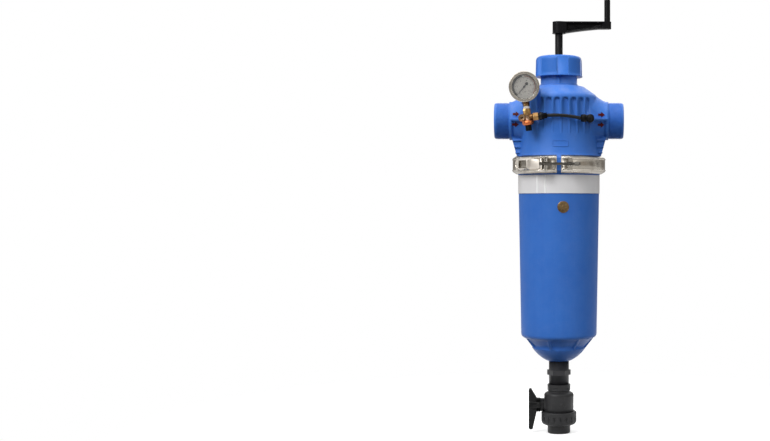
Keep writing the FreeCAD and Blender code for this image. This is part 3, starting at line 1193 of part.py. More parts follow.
def build_union():
    nut = lathe([
        (TAIL_R + FREE, NUT_LOW_Z),
        (NUT_FOOT_R, NUT_LOW_Z),
        ((NUT_R - 3, NUT_LOW_Z + 3), (NUT_R, NUT_LOW_Z + 11)),
        (NUT_R, VALVE_STEP_Z - 2),
        (NUT_R - 2, VALVE_STEP_Z),
        (VALVE_R - 0.5 + SEATED, VALVE_STEP_Z),
        (VALVE_R - 0.5 + SEATED, TAIL_FLANGE_LOW_Z),
        (TAIL_R + FREE, TAIL_FLANGE_LOW_Z),
    ])
    groove = Part.makeCylinder(NUT_GRIP_R, NUT_GRIP_TOP_Z, V(NUT_R + NUT_GRIP_R * 0.55, 0, 0))
    nodes["union_nut"] = nut.cut(around(groove, NUT_GRIPS, 15))
    tail = lathe([
        (OUTLET_R, 0),
        (TAIL_R - 1.5, 0),
        ((TAIL_R - 0.5, 0.5), (TAIL_R, 1.5)),
        (TAIL_R, TAIL_FLANGE_LOW_Z),
        (TAIL_FLANGE_R, TAIL_FLANGE_LOW_Z),
        (TAIL_FLANGE_R, VALVE_FOOT_Z),
        (TAIL_BORE_R, VALVE_FOOT_Z),
        (TAIL_BORE_R, OUTLET_DEPTH),
        (OUTLET_R, OUTLET_DEPTH),
    ])
    section = TAIL_ORING_SECTION_R
    groove = ring(TAIL_ORING_R + section + RUN, TAIL_ORING_R - section - RUN,
                  VALVE_FOOT_Z - 2 * section, VALVE_FOOT_Z + 1)
    nodes["end_connector"] = tail.cut(groove)
    seals.append(torus(TAIL_ORING_R, section, VALVE_FOOT_Z - section))


# Pressure gauge, its three-way valve and hose

TAP = V(-BOSS_X, GAUGE_Y, PORT_Z)
GAUGE_AXIS_Z = PORT_Z + GAUGE_UP
ARM_Z = PORT_Z + 1.8


def leaned(shape):
    """The gauge, its valve and the hose connector lean to the left about the tap."""
    return turned(shape, -GAUGE_LEAN_DEG, AXIS_Y, TAP)


def gauge_disc(radius, front, back):
    """Disc on the gauge axis between two depths measured from the stem's centre, the front one negative."""
    start = V(TAP.x, GAUGE_Y + front, GAUGE_AXIS_Z)
    return Part.makeCylinder(radius, back - front, start, AXIS_Y)


def build_gauge():
    front = -GAUGE_DEPTH / 2
    back = GAUGE_DEPTH / 2
    lip = 2.0
    glass_back = front + lip + GAUGE_GLASS_THICKNESS
    dial_front = front + GAUGE_BEZEL_DEPTH - GAUGE_DIAL_THICKNESS
    dial_back = front + GAUGE_BEZEL_DEPTH
    inner_r = GAUGE_DIAL_R + 2
    shaft_hole = gauge_disc(POINTER_SHAFT_R + RUN, dial_front - 1, dial_back + 5)
    case = gauge_disc(GAUGE_CASE_R, front + lip, back)
    rear = [edge for edge in case.Edges if edge.BoundBox.YMin > GAUGE_Y + back - 0.1]
    case = case.makeFillet(4.0, rear)
    case = case.cut([gauge_disc(inner_r, front, dial_back), shaft_hole])
    bezel = gauge_disc(GAUGE_R, front, front + GAUGE_BEZEL_DEPTH)
    face_edges = [edge for edge in bezel.Edges if edge.BoundBox.YMax < GAUGE_Y + front + 0.1]
    bezel = bezel.makeFillet(1.8, face_edges)
    bezel = bezel.cut([
        gauge_disc(GAUGE_DIAL_R, front - 1, front + GAUGE_BEZEL_DEPTH + 1),
        gauge_disc(GAUGE_CASE_R + SEATED, front + lip, front + GAUGE_BEZEL_DEPTH + 1),
    ])
    glass = gauge_disc(inner_r - SEATED, front + lip, glass_back)
    dial = gauge_disc(inner_r - SEATED, dial_front, dial_back).cut(shaft_hole)
    pointer_y = GAUGE_Y + dial_front - GAUGE_POINTER_RISE
    needle = face_of([
        (-POINTER_HUB_R * 0.7, -POINTER_TAIL),
        (POINTER_HUB_R * 0.7, -POINTER_TAIL),
        (0.35, POINTER_LENGTH),
        (-0.35, POINTER_LENGTH),
    ], lambda a, b: V(TAP.x + a, pointer_y, GAUGE_AXIS_Z + b)).extrude(V(0, 0.8, 0))
    centre = V(TAP.x, pointer_y, GAUGE_AXIS_Z)
    needle = turned(needle, POINTER_REST_DEG, AXIS_Y, centre)
    hub = Part.makeCylinder(POINTER_HUB_R, 1.6, centre, AXIS_Y)
    shaft = Part.makeCylinder(POINTER_SHAFT_R, GAUGE_POINTER_RISE + 4, centre, AXIS_Y)
    pointer = needle.multiFuse([hub, shaft]).removeSplitter()
    solid_bezel = gauge_disc(GAUGE_R, front, front + GAUGE_BEZEL_DEPTH)
    solid_case = gauge_disc(GAUGE_CASE_R, front, back).fuse(solid_bezel)
    stem = hexagon_z(STEM_HEX_R, PORT_Z + STEM_HEX_LOW, GAUGE_AXIS_Z - GAUGE_CASE_R * 0.9, TAP.x, TAP.y)
    neck = Part.makeCylinder(STEM_NECK_R, STEM_HEX_LOW - 10, V(TAP.x, TAP.y, PORT_Z + 10))
    stem = stem.cut(solid_case).fuse(neck).removeSplitter()
    parts = {
        "gauge_case": case, "gauge_bezel": bezel, "gauge_glass": glass, "gauge_dial": dial,
        "gauge_pointer": pointer, "gauge_stem": stem,
    }
    for name, shape in parts.items():
        nodes[name] = leaned(shape)


def build_gauge_valve():
    body = hexagon_z(BRASS_BODY_R, PORT_Z + 6, PORT_Z + BRASS_TOP, TAP.x, TAP.y, 30)
    arm_start = V(TAP.x - BRASS_LEFT + BRASS_EYE_R, TAP.y, ARM_Z)
    arm_end = V(TAP.x + BRASS_RIGHT, TAP.y, ARM_Z)
    eye = Part.makeCylinder(BRASS_EYE_R, 15, arm_start - V(0, 7.5, 0), AXIS_Y)
    bell = hexagon_z(BRASS_BELL_R, PORT_Z + BRASS_BELL_LOW, PORT_Z + BRASS_BELL_TOP, TAP.x, TAP.y)
    bevel = 3.5
    foot = V(TAP.x, TAP.y, PORT_Z + BRASS_BELL_LOW)
    cone = Part.makeCone(BRASS_BELL_R - bevel, BRASS_BELL_R + 1, bevel + 1, foot)
    bell = bell.common(cone.fuse(Part.makeCylinder(BRASS_BELL_R + 1, 30, foot + V(0, 0, bevel + 1))))
    pieces = [
        body,
        rod(BRASS_ARM_R, arm_start, arm_end),
        hexagon_x(BRASS_HEX_R, arm_end.x - 12, arm_end.x, TAP.y, ARM_Z),
        eye,
        bell,
        rod(BRASS_ARM_R + 1, V(TAP.x, TAP.y, PORT_Z + BRASS_BELL_TOP - 1), V(TAP.x, TAP.y, PORT_Z + 8)),
        rod(BRASS_ARM_R, TAP, V(TAP.x, -BOSS_FACE_Y, PORT_Z)),
        rod(TAP_R - SEATED, TAP, V(TAP.x, -BOSS_FACE_Y + TAP_DEPTH - 2, PORT_Z)),
    ]
    body = pieces[0].multiFuse(pieces[1:]).cut([
        Part.makeCylinder(STEM_NECK_R + SEATED, 20, V(TAP.x, TAP.y, PORT_Z + 10)),
        Part.makeCylinder(BRASS_PLUG_R + RUN, 26, foot - V(0, 0, 1)),
        Part.makeCylinder(3.2, 8, arm_start - V(0, 8, 0), AXIS_Y),
        Part.makeCylinder(1.6, 60, V(TAP.x, TAP.y, PORT_Z), AXIS_Y),
    ])
    nodes["gauge_valve_body"] = leaned(body.removeSplitter())
    knob_top = BRASS_BELL_LOW - FREE
    knob = Part.makeCylinder(KNOB_R, knob_top - KNOB_LOW, V(TAP.x, TAP.y, PORT_Z + KNOB_LOW))
    flutes = [
        Part.makeCylinder(1.3, 40, V(TAP.x, TAP.y, PORT_Z + KNOB_LOW - 5) + at(KNOB_R + 0.5, 60 * k))
        for k in range(6)
    ]
    spindle = Part.makeCylinder(BRASS_PLUG_R, -KNOB_LOW + 4, V(TAP.x, TAP.y, PORT_Z + KNOB_LOW + 1))
    nodes["gauge_valve_knob"] = leaned(knob.cut(flutes).fuse(spindle).removeSplitter())
    end = V(arm_end.x + CONNECTOR_LENGTH, TAP.y, ARM_Z)
    connector = rod(CONNECTOR_R, arm_end, arm_end + V(CONNECTOR_LENGTH * 0.62, 0, 0))
    connector = connector.fuse(rod(CONNECTOR_R * 0.78, arm_end, end))
    connector = connector.cut(rod(BRASS_ARM_R * 0.6, arm_end - V(1, 0, 0), arm_end + V(6, 0, 0)))
    nipple = rod(BRASS_ARM_R * 0.6 - SEATED, arm_end - V(2, 0, 0), arm_end + V(5, 0, 0))
    nodes["gauge_valve_body"] = nodes["gauge_valve_body"].fuse(leaned(nipple)).removeSplitter()
    nodes["hose_connector"] = leaned(connector.removeSplitter())
    return leaned(Part.Vertex(end)).Point


def build_hose(start):
    """The hose is held at both ends: one wide arc with a slight hump from the connector to the elbow."""
    end = V(BOSS_X - ELBOW_LENGTH + ELBOW_R + 1, ELBOW_Y, PORT_Z)
    middle = (start + end) * 0.5 + V(0, 0, HOSE_HUMP)
    arc = Part.Arc(start, middle, end)
    tangent = arc.tangent(arc.FirstParameter)[0]
    section = Part.Wire(Part.makeCircle(HOSE_R, start, tangent))
    hose = Part.Wire(arc.toShape()).makePipeShell([section], True, True)
    corner = V(BOSS_X, ELBOW_Y, PORT_Z)
    elbow = Part.makeCylinder(ELBOW_R, -ELBOW_Y - BOSS_FACE_Y + 9, V(BOSS_X, ELBOW_Y - 9, PORT_Z), AXIS_Y)
    barrel = rod(ELBOW_R - 1.2, end, corner)
    nut = rod(ELBOW_R, end + V(2, 0, 0), end + V(11, 0, 0))
    thread = Part.makeCylinder(TAP_R - SEATED, TAP_DEPTH - 2, V(BOSS_X, -BOSS_FACE_Y, PORT_Z), AXIS_Y)
    nodes["hose_elbow"] = elbow.multiFuse([barrel, nut, thread]).removeSplitter()
    nodes["gauge_hose"] = hose.cut([nodes["hose_elbow"], nodes["hose_connector"]])
    length = arc.length()
    volume = nodes["gauge_hose"].Volume
    print("hose length %.1f, bend radius %.0f, volume ratio %.4f"
          % (length, arc.toShape().Curve.Radius, volume / (math.pi * HOSE_R ** 2 * length)))


def build_gauge_set():
    build_gauge()
    build_hose(build_gauge_valve())


def build_all():
    nodes["head"] = build_head()
    nodes["bowl"] = build_bowl()
    seals.append(torus(BODY_ORING_R, BODY_ORING_SECTION_R, PARTING_Z - BODY_ORING_SECTION_R))
    nodes["label_band"] = build_label()
    nodes["seal_disc"] = build_seal_disc()
    build_clamp()
    build_lever()
    build_tie_bolt()
    build_cap()
    build_bush()
    build_crank()
    build_scanner()
    build_screen()
    build_drain()
    build_handle()
    build_union()
    build_gauge_set()
    nodes["seal_rings"] = Part.makeCompound(seals)


build_all()
os.makedirs("parts", exist_ok=True)
for name, shape in nodes.items():
    if not shape.isValid():
        print("not valid:", name)
    shape.exportStep("parts/%s.step" % name)
print(len(nodes), "nodes")
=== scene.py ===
import json
import math

import bpy
import numpy as np
from mathutils import Matrix, Vector

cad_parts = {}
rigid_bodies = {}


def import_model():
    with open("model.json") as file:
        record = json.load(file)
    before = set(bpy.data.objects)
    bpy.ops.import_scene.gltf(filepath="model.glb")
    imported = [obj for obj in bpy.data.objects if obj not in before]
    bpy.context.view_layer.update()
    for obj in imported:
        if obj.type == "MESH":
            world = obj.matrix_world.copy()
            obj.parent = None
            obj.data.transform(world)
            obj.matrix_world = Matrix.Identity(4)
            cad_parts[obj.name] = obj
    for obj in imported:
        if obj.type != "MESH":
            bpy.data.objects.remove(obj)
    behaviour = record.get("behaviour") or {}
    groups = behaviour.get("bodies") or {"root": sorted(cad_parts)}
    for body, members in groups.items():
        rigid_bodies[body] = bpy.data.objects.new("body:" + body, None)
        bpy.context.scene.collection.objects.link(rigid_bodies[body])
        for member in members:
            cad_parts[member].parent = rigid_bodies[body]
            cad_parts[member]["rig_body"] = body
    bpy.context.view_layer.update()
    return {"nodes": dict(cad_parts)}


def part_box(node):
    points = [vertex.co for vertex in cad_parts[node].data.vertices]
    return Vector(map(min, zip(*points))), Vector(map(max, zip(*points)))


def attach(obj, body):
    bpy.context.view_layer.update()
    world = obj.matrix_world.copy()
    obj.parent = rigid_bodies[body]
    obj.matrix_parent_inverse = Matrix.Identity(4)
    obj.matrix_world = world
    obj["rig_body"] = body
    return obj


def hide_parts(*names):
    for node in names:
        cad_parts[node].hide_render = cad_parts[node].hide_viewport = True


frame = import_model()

# Irrigation filter with a hand-cranked scanner: finishes, printed and stamped details, light and camera.
# Metres. The filter stands on the drain outlet at the origin, with the gauge on the front at -Y.

TAU = 2.0 * math.pi
MM = 0.001
POINT_STEPS = 1e8        # steps in a metre: points that round to the same step are one point
CAD_WELD = 0.01 * MM     # distance within which a CAD node's loose corners are joined
SMOOTH_DEG = 30.0        # sharper edges stay crisp
CAD_SMOOTH_DEG = 28.0
ROUND_SMOOTH_DEG = 60.0  # for fine round forms, such as threads and bars
RING_COUNT = 96          # points round a large ring


def low(node):
    """Lowest corner of a CAD node's box."""
    return np.array(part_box(node)[0])


def high(node):
    """Highest corner of a CAD node's box."""
    return np.array(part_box(node)[1])


def middle(node):
    return 0.5 * (low(node) + high(node))


# Surfaces

def add_piece(name, verts, faces, smooth_deg=SMOOTH_DEG):
    """Mesh object at the origin from vertices and faces, with edges sharper than smooth_deg kept crisp."""
    mesh = bpy.data.meshes.new(name)
    mesh.from_pydata(np.asarray(verts, float).tolist(), [], [tuple(face) for face in faces])
    mesh.validate()
    mesh.polygons.foreach_set("use_smooth", np.ones(len(mesh.polygons), bool))
    mesh.set_sharp_from_angle(angle=math.radians(smooth_deg))
    mesh.update()
    face_outwards(mesh)
    piece = bpy.data.objects.new(name, mesh)
    bpy.context.scene.collection.objects.link(piece)
    return piece


def face_outwards(mesh):
    """Turns a closed shell inside out where its volume comes out negative."""
    mesh.calc_loop_triangles()
    corners = np.empty(3 * len(mesh.vertices))
    mesh.vertices.foreach_get("co", corners)
    index = np.empty(3 * len(mesh.loop_triangles), int)
    mesh.loop_triangles.foreach_get("vertices", index)
    a, b, c = np.moveaxis(corners.reshape(-1, 3)[index.reshape(-1, 3)], 1, 0)
    if np.einsum("ij,ij->", a - a[0], np.cross(b - a[0], c - a[0])) < 0:
        mesh.flip_normals()


def joined_doubles(points, faces):
    """Merges points that coincide, as at a pole, and drops the faces that this leaves without area."""
    rounded = np.round(np.asarray(points, float) * POINT_STEPS).astype(np.int64)
    first, inverse = np.unique(rounded, axis=0, return_index=True, return_inverse=True)[1:]
    inverse = inverse.reshape(-1)
    kept = []
    for face in faces:
        ring = [int(inverse[k]) for k in face]
        ring = [k for n, k in enumerate(ring) if k != ring[n - 1]]
        if len(set(ring)) > 2:
            kept.append(ring)
    return np.asarray(points, float)[first], kept


def grid_faces(rows, columns, close_rows, close_columns):
    """Quads between neighbouring points of a grid, wrapped round where a direction is closed."""
    index = np.arange(rows * columns).reshape(rows, columns)
    if close_rows:
        index = np.vstack([index, index[:1]])
    if close_columns:
        index = np.hstack([index, index[:, :1]])
    quads = np.stack([index[:-1, :-1], index[:-1, 1:], index[1:, 1:], index[1:, :-1]], axis=-1)
    return quads.reshape(-1, 4).tolist()


def surface(name, points, close_rows=False, close_columns=False, caps=False, weld=False,
            smooth_deg=SMOOTH_DEG):
    """Surface through a grid of points (rows, columns, 3). caps closes the first and last row with flat
    faces, and weld joins the points of a pole."""
    rows, columns = points.shape[:2]
    faces = grid_faces(rows, columns, close_rows, close_columns)
    if caps:
        faces.append(list(range(columns))[::-1])
        faces.append([(rows - 1) * columns + k for k in range(columns)])
    points = points.reshape(-1, 3)
    if weld:
        points, faces = joined_doubles(points, faces)
    return add_piece(name, points, faces, smooth_deg)


def turned_piece(name, profile, count=64, centre=(0, 0, 0), axis="z", weld=False, smooth_deg=SMOOTH_DEG):
    """Solid of revolution: a closed profile of (radius, height) carried round an axis, which for Z is
    x = r cos t, y = r sin t, z = h."""
    turn = np.linspace(0, TAU, count, endpoint=False)
    radius, height = np.array(profile, float).T[:, :, None]
    a = radius * np.cos(turn)
    b = radius * np.sin(turn)
    c = height + 0 * a
    order = {"z": (a, b, c), "x": (c, a, b), "y": (b, c, a)}[axis]
    points = np.stack(order, axis=-1) + np.array(centre)
    return surface(name, points, close_rows=True, close_columns=True, weld=weld, smooth_deg=smooth_deg)


def in_metres(profile):
    return [(radius * MM, height * MM) for radius, height in profile]


def bell(value, place, width):
    """exp(-((value - place) / width)^2): 1 at its place, and next to nothing two widths away."""
    return np.exp(-((value - place) / width) ** 2)


def lean_about(piece, pivot, axis, angle_deg):
    """Turns a piece's mesh about a point, so that its object stays at the origin, unturned."""
    turn = Matrix.Rotation(math.radians(angle_deg), 4, axis)
    piece.data.transform(Matrix.Translation(pivot) @ turn @ Matrix.Translation(-Vector(pivot)))
    piece.data.update()


def belongs(piece, node, material):
    """Puts a piece on a CAD node's body and gives it its finish."""
    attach(piece, frame["nodes"][node]["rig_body"])
    piece.data.materials.clear()
    piece.data.materials.append(material)


def merged_copy(node, name, smooth_deg):
    """Copy of a CAD node, which stands for it, with its loose triangles joined and its round faces smooth."""
    mesh = frame["nodes"][node].data.copy()
    mesh.name = name
    copy = bpy.data.objects.new(name, mesh)
    bpy.context.scene.collection.objects.link(copy)
    weld = copy.modifiers.new("weld", "WELD")
    weld.merge_threshold = CAD_WELD
    graph = bpy.context.evaluated_depsgraph_get()
    joined = bpy.data.meshes.new_from_object(copy.evaluated_get(graph))
    copy.modifiers.clear()
    copy.data = joined
    if joined.has_custom_normals:
        joined.normals_split_custom_set([(0.0, 0.0, 0.0)] * len(joined.loops))
    joined.polygons.foreach_set("use_smooth", np.ones(len(joined.polygons), bool))
    joined.set_sharp_from_angle(angle=math.radians(smooth_deg))
    joined.update()
    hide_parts(node)
    return copy


# Shared effects

DUST_GREY = (0.46, 0.45, 0.43, 1)
# pale metal that sharp edges turn to: partly bare worn metal, partly a painted highlight
EDGE_HIGHLIGHT_METAL = (0.9, 0.88, 0.84, 1)


def srgb(red, green, blue):
    """Linear colour from 0 to 255 screen values."""
    share = np.array([red, green, blue]) / 255.0
    linear = np.where(share <= 0.04045, share / 12.92, ((share + 0.055) / 1.055) ** 2.4)
    return (*linear.tolist(), 1.0)


class Effect:
    """Shader node group under construction, with named inputs and outputs."""

    def __init__(self, name, inputs, outputs):
        self.tree = bpy.data.node_groups.new(name, "ShaderNodeTree")
        for label, kind, value in inputs:
            socket = self.tree.interface.new_socket(label, in_out="INPUT", socket_type="NodeSocket" + kind)
            socket.default_value = value
        for label, kind in outputs:
            self.tree.interface.new_socket(label, in_out="OUTPUT", socket_type="NodeSocket" + kind)
        self.start = self.tree.nodes.new("NodeGroupInput")
        self.end = self.tree.nodes.new("NodeGroupOutput")

    def node(self, kind, links=None, **settings):
        return add_node(self.tree, kind, links, **settings)

    def give(self, label, socket):
        self.tree.links.new(socket, self.end.inputs[label])

    def __getitem__(self, label):
        return self.start.outputs[label]


def feed(tree, node, links):
    """Feeds a node's inputs with sockets or plain values."""
    for key, value in links.items():
        if isinstance(value, bpy.types.NodeSocket):
            tree.links.new(value, node.inputs[key])
        else:
            node.inputs[key].default_value = value


def add_node(tree, kind, links=None, **settings):
    """Shader node with its properties set and its inputs fed."""
    node = tree.nodes.new("ShaderNode" + kind)
    for key, value in settings.items():
        setattr(node, key, value)
    feed(tree, node, links or {})
    return node


def place_effect(tree, group, values):
    """A shared effect placed in a material or another effect, with its own values."""
    node = tree.nodes.new("ShaderNodeGroup")
    node.node_tree = group
    feed(tree, node, values)
    return node


def mixed_colour(tree, share, first, second):
    """First colour where share is 0 and second where it is 1."""
    return add_node(tree, "Mix", {0: share, 6: first, 7: second}, data_type="RGBA").outputs[2]


def object_point(effect, stretch=(1, 1, 1)):
    """Object coordinates, stretched by a factor each way."""
    place = effect.node("TexCoord").outputs["Object"]
    return effect.node("Mapping", {"Vector": place, "Scale": stretch}).outputs["Vector"]


def noise(effect, point, scale, detail=3.0, roughness=0.55):
    return effect.node("TexNoise", {"Vector": point, "Scale": scale, "Detail": detail,
                                    "Roughness": roughness}).outputs["Fac"]


def spread(effect, value, low_in, high_in, low_out, high_out):
    """Value carried from one span to another, and held at its ends."""
    return effect.node("MapRange", {"Value": value, "From Min": low_in, "From Max": high_in,
                                    "To Min": low_out, "To Max": high_out}).outputs["Result"]


def arithmetic(effect, operation, first, second=0.0):
    return effect.node("Math", {0: first, 1: second}, operation=operation).outputs[0]


def product(effect, first, second):
    return arithmetic(effect, "MULTIPLY", first, second)


def rounded_edges_effect():
    """Normal that rounds sharp edges off, and a mask that is 1 along them."""
    effect = Effect("rounded_edges", [("Radius", "Float", 0.0008)],
                    [("Normal", "Vector"), ("Edge", "Float")])
    bevel = effect.node("Bevel", {"Radius": effect["Radius"]}, samples=6)
    flat = effect.node("NewGeometry").outputs["Normal"]
    dot = effect.node("VectorMath", {0: bevel.outputs["Normal"], 1: flat}, operation="DOT_PRODUCT")
    effect.give("Normal", bevel.outputs["Normal"])
    effect.give("Edge", spread(effect, dot.outputs["Value"], 0.99, 0.86, 0.0, 1.0))
    return effect.tree


def dust_effect():
    """Thin settled dust: more where a face looks up, broken up by noise."""
    effect = Effect("settled_dust", [
        ("Colour", "Color", (0.5, 0.5, 0.5, 1)), ("Roughness", "Float", 0.4), ("Amount", "Float", 0.2),
    ], [("Colour", "Color"), ("Roughness", "Float")])
    up = effect.node("SeparateXYZ", {0: effect.node("NewGeometry").outputs["Normal"]}).outputs["Z"]
    facing = spread(effect, up, 0.15, 0.95, 0.12, 1.0)
    patch = noise(effect, object_point(effect), 38.0, 6.0, 0.65)
    speck = noise(effect, object_point(effect), 420.0, 2.0)
    broken = product(effect, spread(effect, patch, 0.38, 0.68, 0.1, 1.0),
                     spread(effect, speck, 0.35, 0.65, 0.4, 1.0))
    share = product(effect, product(effect, facing, broken), effect["Amount"])
    effect.give("Colour", mixed_colour(effect.tree, share, effect["Colour"], DUST_GREY))
    effect.give("Roughness", arithmetic(effect, "ADD", effect["Roughness"], product(effect, share, 0.35)))
    return effect.tree


def moulded_effect(rounded, dust):
    """Skin of a moulded plastic: cloudy colour, fine grain, flow lines, pale worn edges and dust."""
    effect = Effect("moulded_skin", [
        ("Colour", "Color", (0.1, 0.1, 0.1, 1)), ("Deep colour", "Color", (0.05, 0.05, 0.05, 1)),
        ("Edge colour", "Color", (0.2, 0.2, 0.2, 1)), ("Cloud", "Float", 0.4), ("Roughness", "Float", 0.38),
        ("Grain", "Float", 0.15), ("Grain scale", "Float", 900.0), ("Edge radius", "Float", 0.0008),
        ("Wear", "Float", 0.3), ("Dust", "Float", 0.12),
    ], [("Colour", "Color"), ("Roughness", "Float"), ("Normal", "Vector")])
    point = object_point(effect)
    cloud = noise(effect, point, 9.0, 5.0, 0.6)
    streak = noise(effect, object_point(effect, (60.0, 60.0, 4.0)), 1.0, 4.0)
    share = product(effect, spread(effect, cloud, 0.3, 0.7, 0.0, 1.0), effect["Cloud"])
    colour = mixed_colour(effect.tree, share, effect["Colour"], effect["Deep colour"])
    flow = product(effect, spread(effect, streak, 0.35, 0.65, 0.0, 0.35), effect["Cloud"])
    colour = mixed_colour(effect.tree, flow, colour, effect["Deep colour"])
    edges = place_effect(effect.tree, rounded, {"Radius": effect["Edge radius"]})
    chafe = spread(effect, noise(effect, point, 55.0, 4.0), 0.36, 0.66, 0.15, 1.0)
    worn = product(effect, product(effect, edges.outputs["Edge"], chafe), effect["Wear"])
    colour = mixed_colour(effect.tree, worn, colour, effect["Edge colour"])
    uneven = spread(effect, noise(effect, point, 26.0, 6.0, 0.7), 0.3, 0.7, -0.05, 0.07)
    rough = arithmetic(effect, "ADD", effect["Roughness"], uneven)
    settled = place_effect(effect.tree, dust, {"Colour": colour, "Roughness": rough,
                                               "Amount": effect["Dust"]})
    grain = noise(effect, point, effect["Grain scale"], 2.0, 0.5)
    wave = noise(effect, point, 22.0, 2.0)
    coarse = effect.node("Bump", {"Height": wave, "Strength": 0.10, "Distance": 0.004,
                                  "Normal": edges.outputs["Normal"]})
    fine = effect.node("Bump", {"Height": grain, "Strength": effect["Grain"], "Distance": 0.0002,
                                "Normal": coarse.outputs["Normal"]})
    effect.give("Colour", settled.outputs["Colour"])
    effect.give("Roughness", settled.outputs["Roughness"])
    effect.give("Normal", fine.outputs["Normal"])
    return effect.tree


def metal_effect(rounded):
    """Skin of a worked metal: drawn lines along one way, smudges, and sharp edges brightened towards pale
    metal, partly wear and partly a painted highlight.
    """
    effect = Effect("worked_metal", [
        ("Colour", "Color", (0.6, 0.6, 0.6, 1)), ("Stain", "Color", (0.4, 0.38, 0.35, 1)),
        ("Stain amount", "Float", 0.4), ("Roughness", "Float", 0.25), ("Line stretch", "Vector", (1, 1, 1)),
        ("Line depth", "Float", 0.1), ("Edge radius", "Float", 0.0005), ("Edge wear and highlight", "Float", 0.3),
    ], [("Colour", "Color"), ("Roughness", "Float"), ("Normal", "Vector")])
    place = effect.node("TexCoord").outputs["Object"]
    along = effect.node("VectorMath", {0: place, 1: effect["Line stretch"]}, operation="MULTIPLY")
    lines = noise(effect, along.outputs["Vector"], 1.0, 5.0, 0.7)
    smudge = noise(effect, place, 34.0, 5.0, 0.6)
    share = product(effect, spread(effect, smudge, 0.42, 0.7, 0.0, 1.0), effect["Stain amount"])
    colour = mixed_colour(effect.tree, share, effect["Colour"], effect["Stain"])
    tone = spread(effect, lines, 0.3, 0.7, 0.0, 0.25)
    colour = mixed_colour(effect.tree, tone, colour, effect["Stain"])
    edges = place_effect(effect.tree, rounded, {"Radius": effect["Edge radius"]})
    # painted highlight along sharp edges, together with their wear
    shine = product(effect, edges.outputs["Edge"], effect["Edge wear and highlight"])
    colour = mixed_colour(effect.tree, shine, colour, EDGE_HIGHLIGHT_METAL)
    rough = arithmetic(effect, "ADD", effect["Roughness"], spread(effect, lines, 0.3, 0.7, -0.06, 0.08))
    rough = arithmetic(effect, "ADD", rough, product(effect, share, 0.2))
    bump = effect.node("Bump", {"Height": lines, "Strength": effect["Line depth"], "Distance": 0.0002,
                                "Normal": edges.outputs["Normal"]})
    effect.give("Colour", colour)
    effect.give("Roughness", rough)
    effect.give("Normal", bump.outputs["Normal"])
    return effect.tree


def weave_effect():
    """Two crossing sets of rounded wires round the Z axis: the height of the wires, and a mask that is 0 in
    the holes between them."""
    effect = Effect("weave", [("Across", "Float", 3000.0), ("Up", "Float", 3000.0)],
                    [("Mask", "Float"), ("Height", "Float")])
    parts = effect.node("SeparateXYZ", {0: effect.node("TexCoord").outputs["Object"]})
    angle = arithmetic(effect, "ARCTAN2", parts.outputs["Y"], parts.outputs["X"])
    round_wave = arithmetic(effect, "SINE", product(effect, angle, effect["Across"]))
    up_wave = arithmetic(effect, "SINE", product(effect, parts.outputs["Z"], effect["Up"]))
    wires = arithmetic(effect, "MAXIMUM", arithmetic(effect, "ABSOLUTE", round_wave),
                       arithmetic(effect, "ABSOLUTE", up_wave))
    effect.give("Height", wires)
    effect.give("Mask", spread(effect, wires, 0.35, 0.6, 0.0, 1.0))
    return effect.tree


ROUNDED = rounded_edges_effect()
MOULDED = moulded_effect(ROUNDED, dust_effect())
WORKED = metal_effect(ROUNDED)
WEAVE = weave_effect()


# Finishes

def finish(name, **constants):
    """New material whose shader carries plain numbers on its own sockets."""
    material = bpy.data.materials.new(name)
    material.use_nodes = True
    shader = material.node_tree.nodes["Principled BSDF"]
    for label, value in constants.items():
        shader.inputs[label.replace("_", " ")].default_value = value
    return material, material.node_tree, shader


def cover(tree, shader, colour, roughness, normal):
    """Feeds a shader's colour, roughness and normal, which change over the surface."""
    feed(tree, shader, {"Base Color": colour, "Roughness": roughness, "Normal": normal})


def plastic(name, colour, deep, edge, values=None, **constants):
    material, tree, shader = finish(name, **constants)
    given = {"Colour": colour, "Deep colour": deep, "Edge colour": edge}
    skin = place_effect(tree, MOULDED, {**given, **(values or {})})
    cover(tree, shader, *skin.outputs)
    return material


def metal(name, colour, stain, values=None, **constants):
    material, tree, shader = finish(name, Metallic=1.0, **constants)
    skin = place_effect(tree, WORKED, {"Colour": colour, "Stain": stain, **(values or {})})
    cover(tree, shader, *skin.outputs)
    return material


def painted(name, colour, deep, roughness=0.45, **constants):
    """Thin printed or brushed paint, a little uneven."""
    values = {"Cloud": 0.6, "Roughness": roughness, "Grain": 0.1, "Wear": 0.0, "Edge radius": 0.0001,
              "Dust": 0.02}
    return plastic(name, colour, deep, colour, values, **constants)


BLUE = srgb(57, 114, 199)
BLUE_DEEP = srgb(32, 88, 176)
BLUE_PALE = srgb(112, 164, 232)

body_blue = plastic("body_blue", BLUE, BLUE_DEEP, BLUE_PALE,
                    {"Cloud": 0.35, "Roughness": 0.44, "Grain": 0.10, "Wear": 0.4, "Edge radius": 0.0014,
                     "Dust": 0.26}, Specular_IOR_Level=0.22)
cap_blue = plastic("cap_blue", srgb(50, 108, 192), srgb(40, 93, 176), BLUE_PALE,
                   {"Cloud": 0.3, "Roughness": 0.38, "Grain": 0.10, "Wear": 0.45, "Edge radius": 0.0016,
                    "Dust": 0.08}, Specular_IOR_Level=0.17)
black_satin = plastic("black_satin", srgb(12, 12, 14), srgb(8, 8, 9), srgb(52, 52, 54),
                      {"Cloud": 0.5, "Roughness": 0.42, "Grain": 0.25, "Wear": 0.14, "Edge radius": 0.0008,
                       "Dust": 0.01}, Specular_IOR_Level=0.10)
handle_black = plastic("handle_black", srgb(10, 10, 11), srgb(6, 6, 7), srgb(48, 48, 49),
                       {"Cloud": 0.4, "Roughness": 0.46, "Grain": 0.35, "Grain scale": 700.0, "Wear": 0.25,
                        "Edge radius": 0.0012, "Dust": 0.015}, Specular_IOR_Level=0.2)
grey_pvc = plastic("grey_pvc", srgb(43, 43, 44), srgb(33, 33, 35), srgb(94, 94, 96),
                   {"Cloud": 0.6, "Roughness": 0.44, "Grain": 0.15, "Wear": 0.4, "Edge radius": 0.0012,
                    "Dust": 0.02}, Specular_IOR_Level=0.26)
